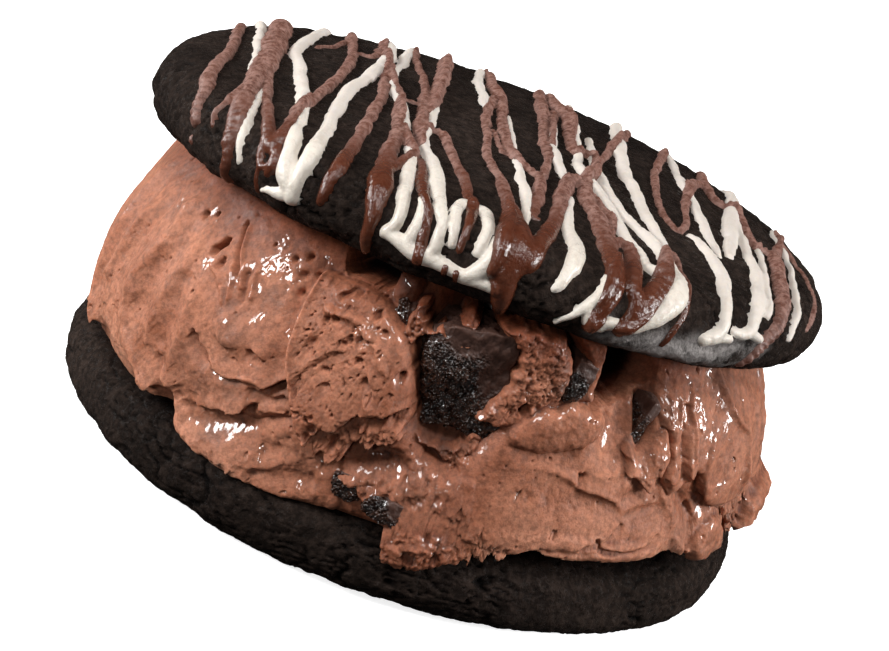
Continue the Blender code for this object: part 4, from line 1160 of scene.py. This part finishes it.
cocoaStrands = (
    (-40, 28, 0.8, -38.6, 18, 0.8, -38, 9.5, 0.85, -37, -0.5, 0.9, -37, -10, 0.95, -36.8, -18, 0.95, -36.2,
     -23, 1, -36.6, -26, 1.05, -37, -28.2, 0.95),
    (-38.5, -29.6, 0.5, -38.6, -30.2, 0.45),
    (-33.6, 34, 1.5, -34, 23, 1.8, -33, 8, 2, -32, -6, 1.7, -31.8, -13, 1.6, -31.4, -23, 1.4, -31, -29,
     1.35, -31, -32, 1.25, -31.6, -34, 1.1, -32.2, -35.6, 0.9, -33.6, -37, 0.85, -34, -38, 0.7),
    (-32, -17, 0.6, -32.6, -24, 0.7, -33, -27, 0.5, -34, -28.4, 0.42, -34.2, -30.4, 0.35),
    (-31, -11, 1, -29.6, -19.5, 0.9, -28.4, -26, 0.85, -27, -32, 0.8, -26.6, -34.4, 0.95, -26, -35.4, 1.1,
     -25.2, -36.4, 0.8, -25, -37.4, 0.65, -25.5, -38.6, 0.8, -26, -39.4, 0.6),
    (-26.6, -34.6, 0.9, -27, -36, 0.6, -27.1, -38, 0.5, -26, -38.6, 0.6),
    (-27.2, -38, 0.42, -28, -39.6, 0.42, -28.6, -41, 0.42),
    (-26, -35.5, 0.9, -25.2, -34.6, 0.85, -25, -31.5, 0.75, -25, -27, 0.85, -25, -23, 0.95, -24.2, -18.5,
     0.9, -23.5, -10, 0.85, -23, -2, 0.85, -23, 9, 0.8, -24, 20.5, 0.8, -25, 29, 0.8, -25.4, 40, 0.8, -24,
     48, 0.7),
    (-23.6, 17, 0.6, -22, 17.4, 0.6, -21, 18, 0.65, -20.4, 25, 0.75, -21, 34.5, 0.75, -20.4, 45, 0.8),
    (-21, 26, 0.7, -19, 18, 0.75, -18, 8.5, 0.85, -17.8, 2.5, 0.8, -17, -6.5, 0.8, -17, -17.5, 0.85, -17,
     -27, 0.95, -17.2, -34, 1, -17.4, -38.5, 0.95, -18, -40.5, 0.85, -18.4, -42, 0.75, -19, -43.4, 0.65),
    (-18, 8, 0.7, -16.8, 4, 0.65, -15, -3, 0.7, -14, -14, 0.85, -13, -23, 0.95, -13, -29.5, 1.3, -12.6,
     -35.5, 1.55, -12.2, -40, 1.6, -12, -43, 1.35, -12.2, -45, 1.15, -12.6, -47, 0.9, -13, -49.4, 0.8),
    (-12.6, -18, 0.5, -12, -20.5, 0.6, -11, -24.5, 0.7, -10, -28, 0.8, -11, -31, 0.85, -12, -35, 0.9),
    (-9, -29, 0.6, -8, -35.5, 0.95, -7, -40, 0.8, -6, -42.5, 0.7, -5.6, -44.5, 0.7, -5.6, -46, 0.75, -5.6,
     -48.4, 0.75),
    (-16.6, 42, 0.6, -16, 28, 0.6, -14, 15, 0.65, -12.5, 4, 0.8, -11.5, -8, 0.95, -11, -15, 1.15, -10, -15,
     0.8, -8, -15.4, 0.9, -7, -19, 0.85, -5.5, -24, 0.8, -4, -29.5, 0.85, -2.6, -34, 0.85, -1.6, -37.5, 0.8,
     -1.2, -42, 0.65, -1.2, -44, 0.6, -1.2, -46, 0.45),
    (-12.6, 44, 0.9, -12, 33, 1.1, -11.5, 21, 1.2, -11, 3, 1.15, -11.2, -8, 1),
    (-14.6, -5, 0.4, -13, -5, 0.5, -11.6, -5, 0.6),
    (-11, -15, 1.1, -10.2, -23, 0.75),
    (-2, -48.2, 0.5, -2, -49.4, 0.45),
    (-0.6, -48.4, 0.5, -0.4, -49.8, 0.4),
    (-6.6, 47, 0.8, -6, 38, 0.9, -4.5, 24, 1.3, -3, 16, 1.15, -2, 3.5, 0.9, -1, -6.5, 0.8, 0.5, -13, 0.85,
     2, -16, 0.9, 4, -18, 0.9, 5, -19.6, 0.95, 5.2, -25, 0.95, 5.4, -29, 0.8, 5.4, -33, 0.6, 6.2,
         -33.6, 0.4),
    (5, -17, 0.7, 5, -9, 0.65, 4, -1, 0.8, 3, 14, 0.9, 2, 30, 1, 1.5, 40, 1, 1, 48, 0.8),
    (-4, 16, 0.8, -4, 2, 0.8, -3, -9, 0.65, -2, -18, 0.65, 0, -24, 0.8, 1, -28, 0.95, 2.4, -33, 1.2, 3.4,
     -36.4, 1.7, 4, -40, 2.5, 4.8, -43, 3, 4.8, -45.6, 2.5, 5.4, -47.6, 1.9, 6, -49.4, 1.7, 6.8, -51.6, 1.5,
     7.2, -53.4, 1.2),
    (-2.6, -5, 0.5, -2, -8, 0.5, -0.5, -14, 0.55),
    (6.4, -43.6, 1.8, 7.2, -39.5, 1.4, 8, -33.5, 1.15, 8, -29, 1.05, 8, -26, 1, 8, -21, 1.15, 8.5, -14,
     1.15, 10, -11.5, 1, 10.4, -14, 1.2, 11, -19, 1.4, 13, -24, 1.45, 14, -29, 1.5, 15, -33, 1.6, 16, -37,
     1.55, 16.8, -40, 1.45, 17, -42.5, 1.35, 17.2, -44.6, 1.25, 17.4, -46, 0.95),
    (2.4, 47, 0.8, 3, 40, 1, 4.4, 31.5, 1.6, 6, 23, 1.4, 6.6, 14, 1, 7, 6.5, 0.9, 8, 0.5, 0.8, 9.5, 4, 0.85,
     11, 2.5, 0.85, 11, -4.5, 0.95, 10.2, -10.5, 1.1),
    (4, 24, 0.8, 4.4, 12, 0.6, 5, 0, 0.5),
    (11.6, -15.6, 0.6, 13, -19, 0.75, 14.4, -22.5, 0.85, 15, -26.4, 0.55),
    (15, -32, 0.9, 16.4, -28.6, 1.15, 18, -31, 1.3, 18.5, -36, 1.25, 19, -38.6, 1.2, 20.2, -40, 1.2, 20.8,
     -42, 1.3, 20.6, -43.8, 1.1),
    (21, -42.8, 1, 21.2, -40, 1.4, 21.6, -37, 1.4, 22, -33, 1.35, 22, -28, 1.15, 22, -24.4, 1, 22.8, -23,
     0.85, 24, -27.4, 0.7, 25, -30.4, 0.65, 25.5, -33.5, 0.6, 26, -35.4, 0.55, 26.2, -37.5, 0.5, 26.8,
     -39.2, 0.65, 27.2, -40.8, 0.4),
    (14.8, 44, 0.7, 14.5, 34.5, 0.7, 13, 20, 0.75, 12, 7.5, 0.6, 11, 1.5, 0.5),
    (20.4, 42, 0.7, 20, 30, 0.75, 19, 13, 0.65, 19.5, 1, 0.65, 20.5, -6.5, 0.65, 22, -11, 0.65, 23, -13,
     0.65, 24, -6.5, 0.6, 23.6, 1, 0.7, 24, 13.5, 0.85, 25, 21, 0.9, 26.6, 22, 0.9, 27.6, 16, 1.1, 29.4, 14,
     1, 31.4, 13, 0.95, 32.5, 6, 0.9, 33.6, 0, 0.95, 35.2, -0.6, 1, 36.2, -1, 1.15, 37, -7.5, 1.25, 37.5,
     -15.5, 1.25, 37.7, -21, 1.25, 38, -24, 1.15, 38.2, -26.5, 1, 38.8, -29, 0.8, 39.2, -31, 0.5),
    (25.6, 36, 0.8, 26.4, 28, 0.9, 27.4, 17, 0.9),
    (36, -1, 0.9, 37, 6, 0.75, 37.5, 12, 0.6, 38, 20, 0.6),
    (37, 17, 0.6, 38.6, 8, 0.5, 41, -1.5, 0.4, 42.4, -6, 0.4, 43, -10.5, 0.45, 43.4, -14, 0.35),
    (-28, 14, 0.5, -26, 20, 0.55, -25, 26, 0.6),
)
drizzleCell, drizzleReach, drizzleBase, drizzleBlend = 0.25, 55.5, 0.7, 0.2


def drizzleHeight(x, y, strands, seed, ribs):
    # how high the strands stand over the cookie; they join softly, and fall away past their edges
    p = np.stack([x, y, np.full(len(x), 5.0 * seed)], axis=1)
    u = x + 0.20 * softNoise(p, 2.8, seed)
    v = y + 0.20 * softNoise(p, 2.8, seed + 2)
    swell = 1 + 0.10 * softNoise(p, 2.2, seed + 3) + 0.22 * softNoise(p, 6, seed + 4)
    height = np.full(len(x), -drizzleBase)
    for strand in strands:
        line = smoothPath(strand, 5, columns=3)
        low, high = line.min(axis=0) - 3, line.max(axis=0) + 3
        close = np.flatnonzero((u > low[0]) & (u < high[0]) & (v > low[1]) & (v < high[1]))
        d, along = pathDistance(u[close], v[close], line[:, :2])
        points = np.arange(len(line))
        half = 0.86 * np.interp(along, points, line[:, 2]) * swell[close]
        lengths = np.concatenate([[0], np.cumsum(np.hypot(*np.diff(line[:, :2], axis=0).T))])
        way = np.interp(along, points, lengths)
        rib = ribs * np.sin(way * 6.2 + 2 * softNoise(p[close], 2.2, seed + 5)) * ramp(v[close], -44, -30)
        thick = np.minimum(0.85 * half, 0.45 + 0.42 * half)
        bead = thick * np.clip(1 - (d / half) ** 2, 0, 1) ** 0.62 * (1 + rib)
        lift = np.where(d < half, bead, np.maximum(-1.2 * (d - half), -drizzleBase))
        joined = np.maximum(height[close], lift)
        joined += drizzleBlend / 4 * np.clip(1 - np.abs(height[close] - lift) / drizzleBlend, 0, 1) ** 2
        height[close] = joined
    return height


def chocolateMaterial(name, colours, dull, bright):
    # two shades of the chocolate, then the shades of its dusty bloom where it is dull and where it is glossy
    made, tree, skin, place = newMaterial(name)
    glossy = attributeNode(tree, "glossy")
    cloudy = noiseNode(tree, place, 2.2, 4.0, 0.6)
    base = rampNode(tree, cloudy, ((0.30, colours[0]), (0.70, colours[1])))
    bloom = mixColour(tree, glossy, colours[2], colours[3])
    dusty = rampNode(tree, noiseNode(tree, place, 0.45, 4.0, 0.75), ((0.42, 0.05), (0.58, 1.0)))
    base = mixColour(tree, dusty, base, bloom)
    shine = rampNode(tree, noiseNode(tree, place, 0.5, 3.0, 0.7), ((0.35, bright), (0.65, bright + 0.14)))
    fine = bumpNode(tree, noiseNode(tree, place, 0.30, 3.0, 0.7), 0.10, 0.9)
    setInputs(tree, skin, {
        "Base Color": base, "Roughness": mixColour(tree, glossy, (dull, dull, dull), shine),
        "Specular IOR Level": 0.45, "Subsurface Weight": 0.10, "Subsurface Radius": (1.0, 0.6, 0.4),
        "Subsurface Scale": 0.8 * mm,
        "Normal": bumpNode(tree, noiseNode(tree, place, 0.9, 4.0, 0.65), 0.22, 0.9, fine),
    })
    return made


def makeDrizzle(name, strands, seed, ribs, material, under=()):
    count = int(2 * drizzleReach / drizzleCell)
    shape = gridShape(count, count, drizzleReach)
    co = np.array([vert.co[:] for vert in shape.verts])
    x, y = co[:, 0], co[:, 1]
    height = drizzleHeight(x, y, strands, seed, ribs)
    below = np.zeros(len(x))
    for lower, lowerSeed in under:
        below = np.maximum(below, 0.9 * drizzleHeight(x, y, lower, lowerSeed, 0))
    bare = height < -0.45
    for vert, z, low in zip(shape.verts, height, below):
        vert.co.z = z + low
    bmesh.ops.delete(shape, geom=[vert for vert, gone in zip(shape.verts, bare) if gone], context="VERTS")
    lowVerts = list(shape.verts)
    bmesh.ops.extrude_face_region(shape, geom=list(shape.faces), use_keep_orig=True)
    for vert in lowVerts:
        vert.co.z = -drizzleBase
    bmesh.ops.delete(shape, geom=[vert for vert in shape.verts if not vert.link_faces], context="VERTS")
    bmesh.ops.recalc_face_normals(shape, faces=shape.faces)
    mesh = meshOf(shape, name)
    x, y, z = pointsOf(mesh).T
    s = np.hypot(x, y)
    azimuth = np.degrees(np.arctan2(x, -y))
    ground = cookieWaver(cookiePlace(topCookie, azimuth, s, 0), topSeed)
    setPoints(mesh, placeTop(cookiePlace(topCookie, azimuth, s, z + ground)))
    addAttribute(mesh, "glossy", 1 - ramp(y, -40, -22))
    pieceFrom(mesh, name, material)


whiteSkin = chocolateMaterial(
    "whiteChocolate",
    ((0.54, 0.475, 0.41), (0.64, 0.58, 0.51), (0.58, 0.52, 0.475), (0.66, 0.60, 0.52)), 0.60, 0.24)
cocoaSkin = chocolateMaterial(
    "milkChocolate",
    ((0.070, 0.020, 0.010), (0.110, 0.036, 0.020), (0.230, 0.122, 0.096), (0.070, 0.018, 0.008)), 0.62, 0.10)
makeDrizzle("whiteDrizzle", whiteStrands, 4, 0.06, whiteSkin)
makeDrizzle("cocoaDrizzle", cocoaStrands, 9, 0.17, cocoaSkin, [(whiteStrands, 4)])


def makeFloor():
    mesh = meshOf(gridShape(1, 1, 3), "paleFloor")
    made, tree, skin, _ = newMaterial("paleFloor")
    setInputs(tree, skin, {
        "Base Color": (0.92, 0.92, 0.92), "Roughness": 0.9, "Emission Color": (1, 1, 1),
            "Emission Strength": 0.8,
    })
    mesh.materials.append(made)
    floor = bpy.data.objects.new("paleFloor", mesh)
    bpy.context.scene.collection.objects.link(floor)
    floor.visible_diffuse = False
    floor.visible_glossy = False


def makeLight(name, azimuth, height, distance, size, power):
    lamp = bpy.data.lights.new(name, "AREA")
    lamp.shape = "DISK"
    lamp.size = size
    lamp.energy = power
    made = bpy.data.objects.new(name, lamp)
    a, e = math.radians(azimuth), math.radians(height)
    way = Vector((math.sin(a) * math.cos(e), -math.cos(a) * math.cos(e), math.sin(e)))
    made.location = Vector(middle) + way * distance
    made.rotation_euler = way.to_track_quat("Z", "Y").to_euler()
    bpy.context.scene.collection.objects.link(made)


def makeStudio():
    world = bpy.data.worlds.new("softStudio")
    bpy.context.scene.world = world
    world.use_nodes = True
    world.node_tree.nodes["Background"].inputs["Color"].default_value = (1, 1, 1, 1)
    world.node_tree.nodes["Background"].inputs["Strength"].default_value = 0.05
    makeLight("keyLeft", -64, 23, 0.6, 0.20, 3.1)
    makeLight("topLeft", -32, 60, 0.7, 0.22, 1.9)
    makeLight("rimLeft", -106, 12, 0.6, 0.24, 2.2)
    makeLight("keyRight", 88, 19, 0.6, 0.20, 3.5)
    makeLight("frontLeft", -14, 16, 0.6, 0.06, 0.42)
    makeLight("topRight", 52, 56, 0.7, 0.22, 1.9)
    bpy.context.scene.view_settings.view_transform = "Standard"


def makeCamera():
    lens = bpy.data.cameras.new("camera")
    lens.sensor_width = 36
    lens.lens = 126.1
    lens.clip_start = 0.01
    camera = bpy.data.objects.new("camera", lens)
    height, roll, distance = math.radians(19.6), math.radians(-20.5), 0.4
    aim = Vector((0.45, 0, 20.4)) * mm
    away = Vector((0, -math.cos(height), math.sin(height)))
    camera.matrix_world = (
        Matrix.Translation(aim + away * distance)
        @ away.to_track_quat("Z", "Y").to_matrix().to_4x4()
        @ Matrix.Rotation(-roll, 4, "Z")
    )
    bpy.context.scene.collection.objects.link(camera)
    bpy.context.scene.camera = camera


makeFloor()
makeStudio()
makeCamera()
